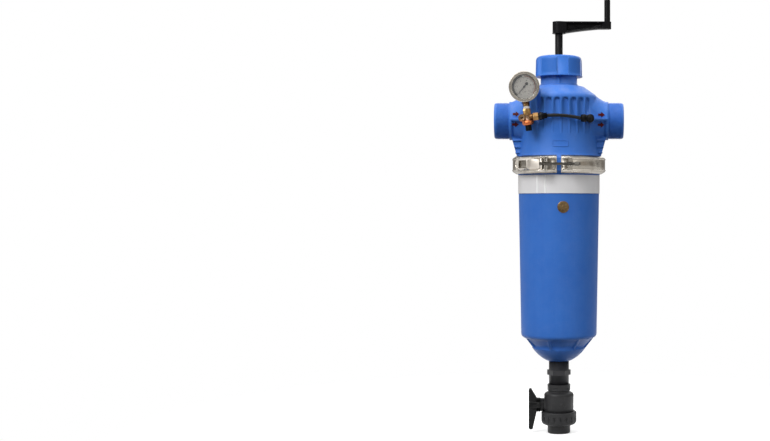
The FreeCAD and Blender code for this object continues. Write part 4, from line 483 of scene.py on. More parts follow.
nipple_grey = plastic("nipple_grey", srgb(43, 43, 46), srgb(34, 34, 37), srgb(84, 84, 87),
                      {"Cloud": 0.5, "Roughness": 0.46, "Grain": 0.2, "Wear": 0.35, "Edge radius": 0.0008,
                       "Dust": 0.04}, Specular_IOR_Level=0.34)
pipe_grey = plastic("pipe_grey", srgb(162, 162, 157), srgb(140, 140, 134), srgb(196, 196, 192),
                    {"Cloud": 0.5, "Roughness": 0.42, "Grain": 0.12, "Wear": 0.2, "Dust": 0.1})
slippery_white = plastic("slippery_white", srgb(228, 228, 222), srgb(208, 207, 200), srgb(240, 240, 238),
                         {"Cloud": 0.4, "Roughness": 0.34, "Grain": 0.08, "Wear": 0.1, "Dust": 0.05})
black_rubber = plastic("black_rubber", srgb(24, 24, 24), srgb(15, 15, 15), srgb(46, 46, 46),
                       {"Cloud": 0.5, "Roughness": 0.62, "Grain": 0.4, "Grain scale": 1400.0, "Wear": 0.2,
                        "Edge radius": 0.0002, "Dust": 0.1}, Specular_IOR_Level=0.3)
hose_nylon = plastic("hose_nylon", srgb(11, 11, 12), srgb(7, 7, 8), srgb(42, 42, 44),
                     {"Cloud": 0.3, "Roughness": 0.34, "Grain": 0.08, "Wear": 0.1, "Dust": 0.02},
                     Specular_IOR_Level=0.22)
valve_grey = plastic("valve_grey", srgb(70, 71, 72), srgb(56, 57, 58), srgb(110, 110, 112),
                     {"Cloud": 0.3, "Roughness": 0.2, "Grain": 0.05, "Wear": 0.1, "Dust": 0.0})
label_film = plastic("label_film", srgb(229, 228, 229), srgb(218, 217, 220), srgb(240, 240, 240),
                     {"Cloud": 0.4, "Roughness": 0.34, "Grain": 0.05, "Wear": 0.2, "Edge radius": 0.0002,
                      "Dust": 0.03}, Coat_Weight=0.35, Coat_Roughness=0.18)

stainless = metal("stainless", srgb(176, 170, 160), srgb(104, 96, 84),
                  {"Stain amount": 0.4, "Roughness": 0.26, "Line stretch": (40.0, 40.0, 900.0),
                   "Line depth": 0.12, "Edge radius": 0.0007, "Edge wear and highlight": 0.5})
lever_steel = metal("lever_steel", srgb(216, 210, 201), srgb(146, 136, 122),
                    {"Stain amount": 0.3, "Roughness": 0.14, "Line stretch": (60.0, 60.0, 700.0),
                     "Line depth": 0.10, "Edge radius": 0.0006, "Edge wear and highlight": 0.5})
# painted highlight: a paler copy of the lever steel for the bright swelling beside the hinge
lever_satin_highlight = metal("lever_satin_highlight", srgb(228, 221, 212), srgb(170, 158, 142),
                    {"Stain amount": 0.2, "Roughness": 0.36, "Line stretch": (60.0, 60.0, 700.0),
                     "Line depth": 0.08, "Edge radius": 0.0006, "Edge wear and highlight": 0.4})
bolt_steel = metal("bolt_steel", srgb(96, 93, 88), srgb(48, 46, 43),
                   {"Stain amount": 0.6, "Roughness": 0.34, "Line stretch": (300.0, 300.0, 300.0),
                    "Line depth": 0.2, "Edge radius": 0.0003, "Edge wear and highlight": 0.4})
gauge_steel = metal("gauge_steel", srgb(180, 174, 164), srgb(92, 85, 75),
                    {"Stain amount": 0.3, "Roughness": 0.2, "Line stretch": (50.0, 900.0, 50.0),
                     "Line depth": 0.08, "Edge radius": 0.0008, "Edge wear and highlight": 0.4})
seal_gold = metal("seal_gold", srgb(126, 104, 72), srgb(40, 26, 20),
                  {"Stain amount": 1.0, "Roughness": 0.32, "Line stretch": (220.0, 220.0, 220.0),
                   "Line depth": 0.1, "Edge radius": 0.0002, "Edge wear and highlight": 0.3})
ferrule_grey = metal("ferrule_grey", srgb(104, 105, 108), srgb(60, 61, 64),
                     {"Stain amount": 0.4, "Roughness": 0.3, "Line stretch": (300.0, 300.0, 300.0),
                      "Line depth": 0.1, "Edge radius": 0.0003, "Edge wear and highlight": 0.3})

dial_paint = painted("dial_paint", srgb(168, 165, 158), srgb(156, 153, 146), 0.5)
print_black = painted("print_black", srgb(18, 17, 18), srgb(12, 11, 12), 0.5)
print_brown = painted("print_brown", srgb(118, 58, 30), srgb(88, 40, 22), 0.5)
pointer_black = painted("pointer_black", srgb(10, 10, 10), srgb(6, 6, 6), 0.5)
arrow_red = painted("arrow_red", srgb(84, 4, 8), srgb(30, 3, 8), 0.42, Specular_IOR_Level=0.12)
# painted highlight: pure white for the bright lines along the label's creases
crease_painted_highlight = painted("crease_painted_highlight", srgb(255, 255, 255), srgb(250, 250, 252), 0.3)
tape_white = painted("tape_white", srgb(226, 222, 216), srgb(196, 190, 184), 0.6)

# copper tone painted on the valve's lower lobes: a painted reddish reflection and shade
COPPER_REFLECTION = srgb(196, 104, 62)
REFLECTION_HEIGHTS = (0.741, 0.747)     # painted reddish reflection: the brass turns to copper from the second height down to the first
REFLECTION_SHARE = 0.75


def brass_finish():
    """Machined brass, stained, with a copper tone painted on the valve's lower lobes as their reddish
    reflection and shade.
    """
    material, tree, shader = finish("brass", Metallic=1.0)
    skin = place_effect(tree, WORKED, {
        "Colour": srgb(146, 117, 74), "Stain": srgb(80, 34, 24), "Stain amount": 0.95, "Roughness": 0.27,
        "Line stretch": (260.0, 260.0, 260.0), "Line depth": 0.15, "Edge radius": 0.0005,
        "Edge wear and highlight": 0.35})
    parts = add_node(tree, "SeparateXYZ", {0: add_node(tree, "TexCoord").outputs["Object"]})
    depth = add_node(tree, "MapRange", {"Value": parts.outputs["Z"], "From Min": REFLECTION_HEIGHTS[0],
                                        "From Max": REFLECTION_HEIGHTS[1], "To Min": REFLECTION_SHARE, "To Max": 0.0})
    tone = mixed_colour(tree, depth.outputs["Result"], skin.outputs["Colour"], COPPER_REFLECTION)
    cover(tree, shader, tone, skin.outputs["Roughness"], skin.outputs["Normal"])
    return material


def clear_glass():
    material, _, shader = finish("gauge_pane", Roughness=0.02, IOR=1.5, Transmission_Weight=1.0)
    shader.inputs["Base Color"].default_value = (1.0, 1.0, 1.0, 1.0)
    return material


def woven_mesh():
    """Fine woven wire: 320 upright wires round the screen, crossed by level ones 1 mm apart, with the holes
    between them painted near black as shade.
    """
    material, tree, shader = finish("woven_mesh", Metallic=1.0)
    weave = place_effect(tree, WEAVE, {"Across": 160.0, "Up": 3000.0})
    skin = place_effect(tree, WORKED, {"Colour": srgb(170, 168, 160), "Stain": srgb(120, 116, 108),
                                       "Roughness": 0.32})
    # painted shade: near black in the holes between the wires
    painted_hole_shade = mixed_colour(tree, weave.outputs["Mask"], (0.03, 0.03, 0.03, 1), skin.outputs["Colour"])
    bump = add_node(tree, "Bump", {"Height": weave.outputs["Height"], "Strength": 0.4, "Distance": 0.0002})
    cover(tree, shader, painted_hole_shade, skin.outputs["Roughness"], bump.outputs["Normal"])
    return material


brass = brass_finish()
pane = clear_glass()
mesh_wire = woven_mesh()

NODE_FINISHES = {
    "head": body_blue, "bowl": body_blue, "cap": cap_blue,
    "screw_bush": black_satin, "crank_shaft": black_satin, "crank_arm": black_satin,
    "crank_grip": black_satin, "crank_arm_screw": bolt_steel, "crank_grip_pin": bolt_steel,
    "stop_washer": black_satin, "cap_slip_ring": slippery_white, "pipe_plug": black_satin,
    "scanner_pipe": pipe_grey, "pipe_end_socket": black_satin, "drain_spigot": black_satin,
    "nozzle_screws": bolt_steel, "screen_cage": pipe_grey, "screen_mesh": mesh_wire,
    "screen_top_ring": pipe_grey, "screen_foot_ring": pipe_grey, "drain_nipple": nipple_grey,
    "spigot_guide": grey_pvc, "valve_body": grey_pvc, "valve_ball": valve_grey,
    "ball_seats": slippery_white, "seat_carrier": grey_pvc, "valve_stem": valve_grey,
    "stem_orings": black_rubber, "valve_handle": handle_black, "union_nut": grey_pvc,
    "end_connector": grey_pvc, "clamp_half_left": stainless, "clamp_half_right": stainless,
    "clamp_pins": bolt_steel, "clamp_lever": lever_steel, "lever_bolt_pin": lever_steel,
    "tie_bolt": bolt_steel, "tie_bolt_nut": bolt_steel, "gauge_case": gauge_steel,
    "gauge_bezel": gauge_steel, "gauge_stem": brass, "gauge_valve_body": brass,
    "gauge_valve_knob": black_satin, "hose_connector": black_satin, "hose_elbow": black_satin,
    "gauge_hose": hose_nylon, "seal_rings": black_rubber,
}
for number in range(1, 9):
    NODE_FINISHES["nozzle_%d" % number] = black_satin

CRISP_DEG = {"cap": 14.0, "union_nut": 20.0, "valve_body": 20.0}

dressed = {}
for node, material in NODE_FINISHES.items():
    dressed[node] = merged_copy(node, node + "_skin", CRISP_DEG.get(node, CAD_SMOOTH_DEG))
    belongs(dressed[node], node, material)


# Threads

THREAD_FADE_TURNS = 1.5
THREAD_BURIED = 0.8 * MM      # the shell's inner wall under the thread's root

PORT_Z = 750.0 * MM
PORT_THREAD_PITCH = 2.309 * MM
PORT_THREAD_RADII = (42.3 * MM, 43.9 * MM)
PORT_THREAD_SPAN = (118.9 * MM, 152.7 * MM)

BOLT_AXIS_Y = -118.6 * MM
BOLT_PITCH = 1.0 * MM
BOLT_RADII = (3.1 * MM, 3.5 * MM)
BOLT_THREAD_START = 8.0 * MM
BOLT_BARE_TIP = 0.4 * MM


def screw_thread(name, span, radii, pitch, centre, count, steps):
    """Screw thread round X: r = root + depth (1 - cos 2 pi (x / pitch - turn)) / 2, fading in and out over a
    turn and a half at its ends. Two rows inside the root close the shell. steps is the rows in a pitch."""
    start, end = span
    root, crest = radii
    along = np.linspace(start, end, int(round((end - start) / pitch * steps)))
    turn = np.linspace(0, 1, count, endpoint=False)
    ridge = 0.5 - 0.5 * np.cos(TAU * (along[:, None] / pitch - turn))
    fade = np.clip(np.minimum(along - start, end - along) / (THREAD_FADE_TURNS * pitch), 0, 1)[:, None]
    radius = np.vstack([root + (crest - root) * ridge * fade, np.full((2, count), root - THREAD_BURIED)])
    along = np.concatenate([along, [end, start]])[:, None] + 0 * radius
    points = np.stack([along, radius * np.cos(TAU * turn), radius * np.sin(TAU * turn)], axis=-1)
    return surface(name, points + np.array(centre), close_rows=True, close_columns=True,
                   smooth_deg=ROUND_SMOOTH_DEG)


def port_threads():
    """Pipe threads of the two ports."""
    near, far = PORT_THREAD_SPAN
    for side, span in (("right", (near, far)), ("left", (-far, -near))):
        piece = screw_thread("port_thread_" + side, span, PORT_THREAD_RADII, PORT_THREAD_PITCH,
                             (0, 0, PORT_Z), RING_COUNT, 8)
        belongs(piece, "head", body_blue)


def bolt_thread():
    """Metric thread on the tie bolt's free end."""
    span = (BOLT_THREAD_START, high("tie_bolt")[0] - BOLT_BARE_TIP)
    piece = screw_thread("bolt_thread", span, BOLT_RADII, BOLT_PITCH,
                         (0, BOLT_AXIS_Y, middle("tie_bolt")[2]), 40, 7)
    belongs(piece, "tie_bolt", bolt_steel)


# Flow arrows and badge

FRONT_Y = -160.0 * MM         # in front of the head, from where a flat piece is pressed onto it

ARROW_LENGTH = 15.5 * MM
ARROW_HALF = 6.3 * MM
ARROW_SHAFT_HALF = 2.6 * MM
ARROW_SHAFT_SHARE = 0.48      # of the length
ARROW_BARB_SHARE = 0.001      # of the length, over which the shaft widens to the barb
ARROW_TIP_HALF = 0.05 * MM
ARROW_LIFT = 0.25 * MM
ARROW_THICK = 0.6 * MM
ARROW_PLACES = {
    "flow_arrow_in_upper": (-109.4 * MM, 763.6 * MM), "flow_arrow_in_lower": (-111.0 * MM, 739.0 * MM),
    "flow_arrow_out_upper": (93.2 * MM, 761.8 * MM), "flow_arrow_out_lower": (92.4 * MM, 738.0 * MM),
}

BADGE_X = (-15.6 * MM, 22.1 * MM)
BADGE_Z = (684.5 * MM, 699.5 * MM)
BADGE_CORNER = 2.5 * MM
BADGE_FRAME = 1.4 * MM
BADGE_LIFT = 0.8 * MM
BADGE_THICK = 1.6 * MM


def laid_on(piece, node, lift, thickness):
    """Presses a flat piece onto a node along Y, a little proud of it, and gives it a wall."""
    press = piece.modifiers.new("press", "SHRINKWRAP")
    press.target = dressed[node]
    press.wrap_method = "PROJECT"
    press.use_project_x = False
    press.use_project_y = True
    press.use_project_z = False
    press.use_positive_direction = True
    press.use_negative_direction = False
    press.offset = lift
    wall = piece.modifiers.new("wall", "SOLIDIFY")
    wall.thickness = thickness
    wall.offset = -1.0
    wall.use_even_offset = True
    graph = bpy.context.evaluated_depsgraph_get()
    graph.update()
    pressed = bpy.data.meshes.new_from_object(piece.evaluated_get(graph))
    piece.modifiers.clear()
    piece.data = pressed


def flow_arrow(name, x, z):
    """Arrow that points to +X: its half height against its length u is the shaft's up to the barb, and from
    there falls evenly to the tip."""
    u = np.concatenate([np.linspace(0, ARROW_SHAFT_SHARE, 12),
                        np.linspace(ARROW_SHAFT_SHARE + ARROW_BARB_SHARE, 1.0, 14)])
    barb = ARROW_HALF * (1 - u) / (1 - ARROW_SHAFT_SHARE) + ARROW_TIP_HALF
    half = np.where(u <= ARROW_SHAFT_SHARE, ARROW_SHAFT_HALF, barb)[:, None]
    v = np.linspace(-1, 1, 9)
    points = np.stack([x + ARROW_LENGTH * u[:, None] + 0 * v, FRONT_Y + 0 * half * v, z + half * v], axis=-1)
    piece = surface(name, points)
    laid_on(piece, "head", ARROW_LIFT, ARROW_THICK)
    belongs(piece, "head", arrow_red)


def rounded_rectangle(x_span, z_span, corner, steps):
    """Points round a rectangle whose corners are quarter circles, evenly spaced along the whole outline."""
    quarter = np.linspace(0, 0.5 * math.pi, steps)
    low_x, high_x = x_span[0] + corner, x_span[1] - corner
    low_z, high_z = z_span[0] + corner, z_span[1] - corner
    parts = []
    for k, (x, z) in enumerate([(high_x, high_z), (low_x, high_z), (low_x, low_z), (high_x, low_z)]):
        turn = quarter + k * 0.5 * math.pi
        parts.append(np.stack([x + corner * np.cos(turn), z + corner * np.sin(turn)], axis=-1))
    closed = np.vstack(parts + [parts[0][:1]])
    step = np.linalg.norm(np.diff(closed, axis=0), axis=1)
    place = np.concatenate([[0], np.cumsum(step)])
    even = np.linspace(0, place[-1], RING_COUNT, endpoint=False)
    return np.stack([np.interp(even, place, closed[:, 0]), np.interp(even, place, closed[:, 1])], axis=-1)


def badge_frame():
    """Thin raised frame round the bare badge panel: the outline, shrunk towards its middle by the frame's
    width."""
    outer = rounded_rectangle(BADGE_X, BADGE_Z, BADGE_CORNER, 6)
    centre = outer.mean(axis=0)
    size = np.array([BADGE_X[1] - BADGE_X[0], BADGE_Z[1] - BADGE_Z[0]])
    share = np.linspace(0, 1, 4)[:, None, None]
    rings = centre + (outer - centre) * (1 - share * 2 * BADGE_FRAME / size)
    y = np.full(rings.shape[:2] + (1,), FRONT_Y)
    points = np.concatenate([rings[..., :1], y, rings[..., 1:]], axis=-1)
    piece = surface("badge_frame", points, close_columns=True)
    laid_on(piece, "head", BADGE_LIFT, BADGE_THICK)
    belongs(piece, "head", body_blue)


# Label film and seal disc

LABEL_STEPS = 720
LABEL_FILM = 0.45 * MM
LABEL_SUNK = 0.3 * MM         # at most, under the film's outer radius
LABEL_FOLDS = (               # place in degrees, height in millimetres, width in degrees
    (-119.8, -0.30, 0.8), (-107.6, -0.30, 0.8), (-63.0, 0.10, 1.2), (40.0, 0.3, 1.0),
)
# Two raised creases in the label, painted white as the highlights along them
CREASE_DEG = (-121.7, -109.4)
CREASE_Z = (575.6 * MM, 618.4 * MM)
CREASE_HALF = 1.6 * MM
CREASE_PROUD = 0.9 * MM

SEAL_CENTRE = (10.1 * MM, 543.2 * MM)
SEAL_R = 13.8 * MM
SEAL_PROUD = 1.0 * MM         # the CAD disc's front over the bowl's wall
SEAL_SUNK = 0.6               # heights over the wall, in millimetres
SEAL_PLATE = 0.45
SEAL_RIM = 0.45
SEAL_LINE = 0.30
SEAL_DASH = 0.45
SEAL_BOSS = 0.45
SEAL_DASHES = 9
SEAL_STEPS = 144


def label_wrap():
    """Film round the bowl: r = R + folds, where each fold is a narrow bell across the angle, and the edges
    lift a little over long waves."""
    foot = low("label_band")[2]
    radius, _, top = high("label_band")
    turn = np.linspace(0, TAU, LABEL_STEPS, endpoint=False)
    up = np.linspace(0, 1, 13)[:, None]
    fold = sum(height * bell(np.degrees(turn), place_deg % 360, width_deg)
               for place_deg, height, width_deg in LABEL_FOLDS)
    wave = 0.05 * np.sin(7 * turn) + 0.04 * np.sin(17 * turn + 1.0)
    lift = (fold * (0.75 + 0.25 * np.cos(TAU * up)) + wave * (2 * up - 1) ** 2) * MM
    outer = radius + np.clip(lift, -LABEL_SUNK, None)
    radii = np.vstack([outer, np.full((2, LABEL_STEPS), radius - LABEL_FILM)])
    z = np.concatenate([foot + up[:, 0] * (top - foot), [top, foot]])[:, None] + 0 * radii
    points = np.stack([radii * np.cos(turn), radii * np.sin(turn), z], axis=-1)
    piece = surface("label_wrap", points, close_rows=True, close_columns=True, smooth_deg=40)
    belongs(piece, "label_band", label_film)
    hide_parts("label_band")


def seal_stamp():
    """Stamped disc on the bowl: its height over the wall is a plate with a rounded rim, a ring line, nine
    radial dashes and a small plain boss, and y follows the wall's circle."""
    wall_r = -low("seal_disc")[1] - SEAL_PROUD
    share = np.concatenate([np.linspace(0.0, 0.97, 40), [0.99, 1.0, 1.0]])[:, None]
    turn = np.linspace(0, TAU, SEAL_STEPS, endpoint=False)
    rim = SEAL_RIM * bell(share, 0.93, 0.045)
    line = SEAL_LINE * bell(share, 0.74, 0.03)
    dash = SEAL_DASH * np.clip(np.cos(SEAL_DASHES * turn), 0, 1) ** 2 * bell(share, 0.52, 0.12)
    boss = SEAL_BOSS * np.clip((0.26 - share) / 0.04, 0, 1)
    height = (SEAL_PLATE + rim + line + dash + boss) * MM + 0 * turn
    height[-2:] = np.array([[SEAL_PLATE], [-SEAL_SUNK]]) * MM
    x = SEAL_CENTRE[0] + SEAL_R * share * np.cos(turn)
    z = SEAL_CENTRE[1] + SEAL_R * share * np.sin(turn)
    y = -np.sqrt((wall_r + height) ** 2 - x ** 2)
    back_y = -np.sqrt((wall_r - SEAL_SUNK * MM) ** 2 - SEAL_CENTRE[0] ** 2)
    back = np.tile((SEAL_CENTRE[0], back_y, SEAL_CENTRE[1]), (1, SEAL_STEPS, 1))
    points = np.concatenate([np.stack([x, y, z], axis=-1), back])
    piece = surface("seal_stamp", points, close_columns=True, smooth_deg=50, weld=True)
    belongs(piece, "seal_disc", seal_gold)
    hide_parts("seal_disc")


# Gauge

TAP = (-73.0 * MM, -101.0 * MM, 750.0 * MM)     # middle of the gauge valve, about which the gauge leans
GAUGE_LEAN_DEG = -6.0
GAUGE_CENTRE_Z = 822.7 * MM
PRINT = 0.12 * MM             # thickness of the ink
DIAL_R = 28.6 * MM
DIAL_THICK = 0.8 * MM
DIAL_EDGE = (0.3 * MM, 0.2 * MM)
DIAL_START_DEG = 225.0
DIAL_SWEEP_DEG = 270.0
DIAL_BANDS = {                # inner and outer radius, first and last angle, ink
    "dial_arc_black": (23.6 * MM, 27.0 * MM, 226.0, 96.0, print_black),
    "dial_arc_brown": (24.2 * MM, 26.6 * MM, 84.0, -44.0, print_brown),
    "dial_line": (22.4 * MM, 22.7 * MM, DIAL_START_DEG, DIAL_START_DEG - DIAL_SWEEP_DEG, print_black),
}
LONG_TICK = (18.9 * MM, 22.6 * MM, 0.34 * MM)   # inner and outer radius, half width
SHORT_TICK = (20.7 * MM, 22.6 * MM, 0.16 * MM)
SCREW_HEAD = (18.4 * MM, 20.0 * MM, 0.8 * MM)
SCREWS_DEG = (-62.0, -118.0)
FIGURE_R = 15.6 * MM
FIGURE_SIZE = 5.6 * MM
UNIT_SIZE = 4.0 * MM
UNIT_PLACE = (1.5 * MM, -11.5 * MM)             # from the dial's middle
# ring of dark steel that paints the shade of the bezel's groove
GROOVE_RADII = (32.1 * MM, 32.8 * MM)
GROOVE_SUNK = 0.6 * MM
PANE_MARGIN = 0.6 * MM        # pane's radius over the dial's
PANE_DOME = 0.5 * MM
GASKET_WIDTH = (1.9 * MM, 1.6 * MM)             # at its front and its back
GASKET_PROUD = 0.2 * MM
GASKET_GAP = 0.1 * MM

POINTER_SPAN = (-13.4, 4.0, 4.5, 22.5)          # along the pointer, in millimetres from its axis
NEEDLE_HALF = 1.25
NEEDLE_TIP_HALF = 0.25
HUB_R = 2.8
WEIGHT_PLACE = -9.4
WEIGHT_REACH = 4.0
WEIGHT_HALF = 3.7
POINTER_SLOPE = 0.8           # front width over back width
POINTER_CLEAR = 4             # thicknesses of ink from the dial to the pointer's back

TAPE_SPAN = (20.5, 27.5)      # heights over the tap and radii, in millimetres
TAPE_R = 6.7
TAPE_SWELL = 0.6
TAPE_INNER_R = 5.2
TAPE_STEPS = 64


def gauge_front():
    """Front of the dial's sheet, which the prints lie on."""
    return low("gauge_dial")[1]


def on_gauge(piece, node, material):
    """Leans a piece that was made upright with the gauge, and puts it on the node's body."""
    lean_about(piece, TAP, "Y", GAUGE_LEAN_DEG)
    belongs(piece, node, material)


def dial_turned(name, profile, weld=False):
    """Solid of revolution round the dial's middle, from a profile of (radius, y)."""
    return turned_piece(name, profile, RING_COUNT, (TAP[0], 0, GAUGE_CENTRE_Z), "y", weld=weld)


def arc_band(name, inner, outer, start_deg, end_deg, front, depth):
    """Flat band bent round the dial's centre: four corners (inner or outer, front or back) carried by
    angle."""
    turn = np.radians(np.linspace(start_deg, end_deg, max(8, int(abs(end_deg - start_deg) / 3))))[:, None]
    radius = np.array([inner, outer, outer, inner])
    y = np.array([front, front, front + depth, front + depth])
    points = np.stack([TAP[0] + radius * np.cos(turn), y + 0 * turn,
                       GAUGE_CENTRE_Z + radius * np.sin(turn)], axis=-1)
    return surface(name, points, close_columns=True, caps=True)


def tick_marks(name, angles_deg, inner, outer, half_width, front, depth):
    """One thin bar per angle: eight corners, from inner to outer radius and half a width to each side."""
    turn = np.radians(np.asarray(angles_deg, float))[:, None]
    reach = np.array([inner, outer, outer, inner] * 2)
    side = np.array([-1, -1, 1, 1] * 2) * half_width
    y = np.array([front] * 4 + [front + depth] * 4)
    x = TAP[0] + reach * np.cos(turn) - side * np.sin(turn)
    z = GAUGE_CENTRE_Z + reach * np.sin(turn) + side * np.cos(turn)
    corners = np.stack([x, y + 0 * turn, z], axis=-1)
    sides = [[0, 4, 5, 1], [1, 5, 6, 2], [2, 6, 7, 3], [3, 7, 4, 0]]
    bar = np.array([[0, 1, 2, 3], [7, 6, 5, 4], *sides])
    faces = (bar[None] + 8 * np.arange(len(corners))[:, None, None]).reshape(-1, 4)
    return add_piece(name, corners.reshape(-1, 3), faces.tolist(), 20)


def dial_text(name, words, size, x, z, front):
    """Plain figures as a thin mesh that faces -Y."""
    curve = bpy.data.curves.new(name, "FONT")
    curve.body = words
    curve.size = size
    curve.extrude = 0.5 * PRINT
    curve.align_x = "CENTER"
    curve.align_y = "CENTER"
    written = bpy.data.objects.new(name, curve)
    bpy.context.scene.collection.objects.link(written)
    graph = bpy.context.evaluated_depsgraph_get()
    mesh = bpy.data.meshes.new_from_object(written.evaluated_get(graph))
    bpy.data.objects.remove(written)
    mesh.transform(Matrix.Translation((x, front, z)) @ Matrix.Rotation(math.radians(90), 4, "X"))
    mesh.name = name
    piece = bpy.data.objects.new(name, mesh)
    bpy.context.scene.collection.objects.link(piece)
    return piece


def dial_angle(share):
    """Angle on the dial, anticlockwise from +X, for a share of the scale."""
    return DIAL_START_DEG - DIAL_SWEEP_DEG * np.asarray(share, float)


def dial_sheet():
    """Round sheet of the dial, with its front edge broken."""
    front = gauge_front()
    edge_in, edge_back = DIAL_EDGE
    sheet = dial_turned("dial_sheet", [
        (0.0, front), (DIAL_R - edge_in, front), (DIAL_R, front + edge_back), (DIAL_R, front + DIAL_THICK),
        (0.0, front + DIAL_THICK)], weld=True)
    on_gauge(sheet, "gauge_dial", dial_paint)
    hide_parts("gauge_dial")


def dial_scale():
    """Printed scale from 0 to 10: coloured arcs, ticks, figures, the unit and the heads of two screws."""
    ink = gauge_front() - PRINT

    def printed(piece, material=print_black):
        on_gauge(piece, "gauge_dial", material)

    for name, (inner, outer, start_deg, end_deg, colour) in DIAL_BANDS.items():
        printed(arc_band(name, inner, outer, start_deg, end_deg, ink, PRINT), colour)
    long_shares = np.linspace(0, 1, 11)
    short_shares = np.setdiff1d(np.round(np.linspace(0, 1, 51), 4), np.round(long_shares, 4))
    printed(tick_marks("dial_ticks_long", dial_angle(long_shares), *LONG_TICK, ink, PRINT))
    printed(tick_marks("dial_ticks_short", dial_angle(short_shares), *SHORT_TICK, ink, PRINT))
    for figure in range(0, 11, 2):
        turn = math.radians(float(dial_angle(figure / 10)))
        x = TAP[0] + FIGURE_R * math.cos(turn)
        z = GAUGE_CENTRE_Z + FIGURE_R * math.sin(turn)
        printed(dial_text("dial_figure_%d" % figure, str(figure), FIGURE_SIZE, x, z, ink))
    printed(dial_text("dial_unit", "bar", UNIT_SIZE, TAP[0] + UNIT_PLACE[0], GAUGE_CENTRE_Z + UNIT_PLACE[1],
                      ink))
    printed(tick_marks("dial_screws", SCREWS_DEG, *SCREW_HEAD, ink, PRINT))


def bezel_groove():
    """Painted shade of the bezel's groove: a thin ring of dark steel round the bezel's face."""
    face = low("gauge_bezel")[1]
    inner, outer = GROOVE_RADII
    groove = dial_turned("bezel_groove", [(inner, face + GROOVE_SUNK), (inner, face - PRINT / 2),
                                          (outer, face - PRINT / 2), (outer, face + GROOVE_SUNK)])
    on_gauge(groove, "gauge_bezel", bolt_steel)


def gauge_pane():
    """Pane whose front falls back with the square of the radius, and the gasket behind its edge."""
    front = low("gauge_glass")[1]
    back = high("gauge_glass")[1]
    rim = DIAL_R + PANE_MARGIN
    share = np.linspace(0, 1, 12)
    dome = [(rim * s, front + PANE_DOME * s ** 2) for s in share]
    flat = [(rim * s, back) for s in share[::-1]]
    glass = dial_turned("gauge_pane", dome + flat, weld=True)
    on_gauge(glass, "gauge_glass", pane)
    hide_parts("gauge_glass")
    gasket_front = gauge_front() - GASKET_PROUD
    gasket = dial_turned("gauge_gasket", [
        (rim - GASKET_WIDTH[0], gasket_front), (rim - GASKET_GAP, gasket_front), (rim - GASKET_GAP, back),
        (rim - GASKET_WIDTH[1], back)])
    on_gauge(gasket, "gauge_dial", black_rubber)


def pointer_blade():
    """Pointer in plan: a tapering needle, a round hub and a rounded counterweight. The half width along its
    length u, in millimetres, is the widest of the three outlines."""
    tail, near, far, tip = POINTER_SPAN
    u = np.concatenate([np.linspace(tail, near, 52), np.linspace(far, tip, 19)])
    needle = np.where(u > 0, NEEDLE_HALF - (NEEDLE_HALF - NEEDLE_TIP_HALF) * u / tip, NEEDLE_HALF)
    hub = np.sqrt(np.clip(HUB_R ** 2 - u ** 2, 0, None))
    weight = WEIGHT_HALF * np.sqrt(np.clip(1 - ((u - WEIGHT_PLACE) / WEIGHT_REACH) ** 2, 0, None))
    rounding = np.clip((u - tail + 0.05) / 0.3, 0.05, 1)
    half = np.maximum(np.maximum(needle, hub), weight) * rounding
    front = low("gauge_pointer")[1]
    back = gauge_front() - POINTER_CLEAR * PRINT
    turn = math.radians(DIAL_START_DEG)
    along = np.array([math.cos(turn), 0, math.sin(turn)])
    across = np.array([-math.sin(turn), 0, math.cos(turn)])
    centre = np.array([TAP[0], 0, GAUGE_CENTRE_Z])
    corners = [(-1, back), (-POINTER_SLOPE, front), (POINTER_SLOPE, front), (1, back)]
    rows = [centre + MM * (u[:, None] * along + side * half[:, None] * across) + np.array([0, y, 0])
            for side, y in corners]
    piece = surface("pointer_blade", np.stack(rows, axis=1), close_columns=True, caps=True)
    on_gauge(piece, "gauge_pointer", pointer_black)
    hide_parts("gauge_pointer")


def thread_tape():
    """Sealing tape wound on the gauge's thread: an uneven barrel whose radius ripples with height and
    turn."""
    foot, top = TAPE_SPAN
    height = np.linspace(foot, top, 22)
    turn = np.linspace(0, TAU, TAPE_STEPS, endpoint=False)
    ripple = 0.22 * np.sin(2.9 * height[:, None] + turn) + 0.14 * np.sin(3 * turn + height[:, None])
    swell = TAPE_SWELL * np.sin(math.pi * (height - foot) / (top - foot))[:, None]
    radius = np.vstack([TAPE_R + swell + ripple, np.full((2, TAPE_STEPS), TAPE_INNER_R)]) * MM
    height = np.concatenate([height, [top, foot]]) * MM
    points = np.stack([TAP[0] + radius * np.cos(turn), TAP[1] + radius * np.sin(turn),
                       TAP[2] + height[:, None] + 0 * radius], axis=-1)
    piece = surface("thread_tape", points, close_rows=True, close_columns=True, smooth_deg=70)
    on_gauge(piece, "gauge_stem", tape_white)


# Hose connector

CONNECTOR_NUT_START = 4.0 * MM
CONNECTOR_NUT = (             # over the connector's radius and along it, in millimetres
    (-1.2, 0.0), (0.3, 0.3), (0.5, 1.0), (0.5, 4.4), (0.1, 5.0), (-1.2, 5.2),
)
COLLET_START = 5.4 * MM       # from the nut's start
COLLET = ((4.2, 0.0), (6.0, 0.2), (6.3, 1.0), (6.0, 3.6), (4.2, 4.2))


def connector_ring():
    """Black clamping nut on the hose connector, with a rounded front edge, and the grey collet behind it."""
    _, y, z = middle("hose_connector")
    start = low("hose_connector")[0] + CONNECTOR_NUT_START
    outer = 0.5 * (high("hose_connector")[2] - low("hose_connector")[2])
    profile = [(outer + proud * MM, along * MM) for proud, along in CONNECTOR_NUT]
    belongs(turned_piece("connector_ferrule", profile, 48, (start, y, z), "x"), "hose_connector", hose_nylon)
    collet = turned_piece("connector_collet", in_metres(COLLET), 40, (start + COLLET_START, y, z), "x")
    belongs(collet, "hose_connector", ferrule_grey)


# Clamp

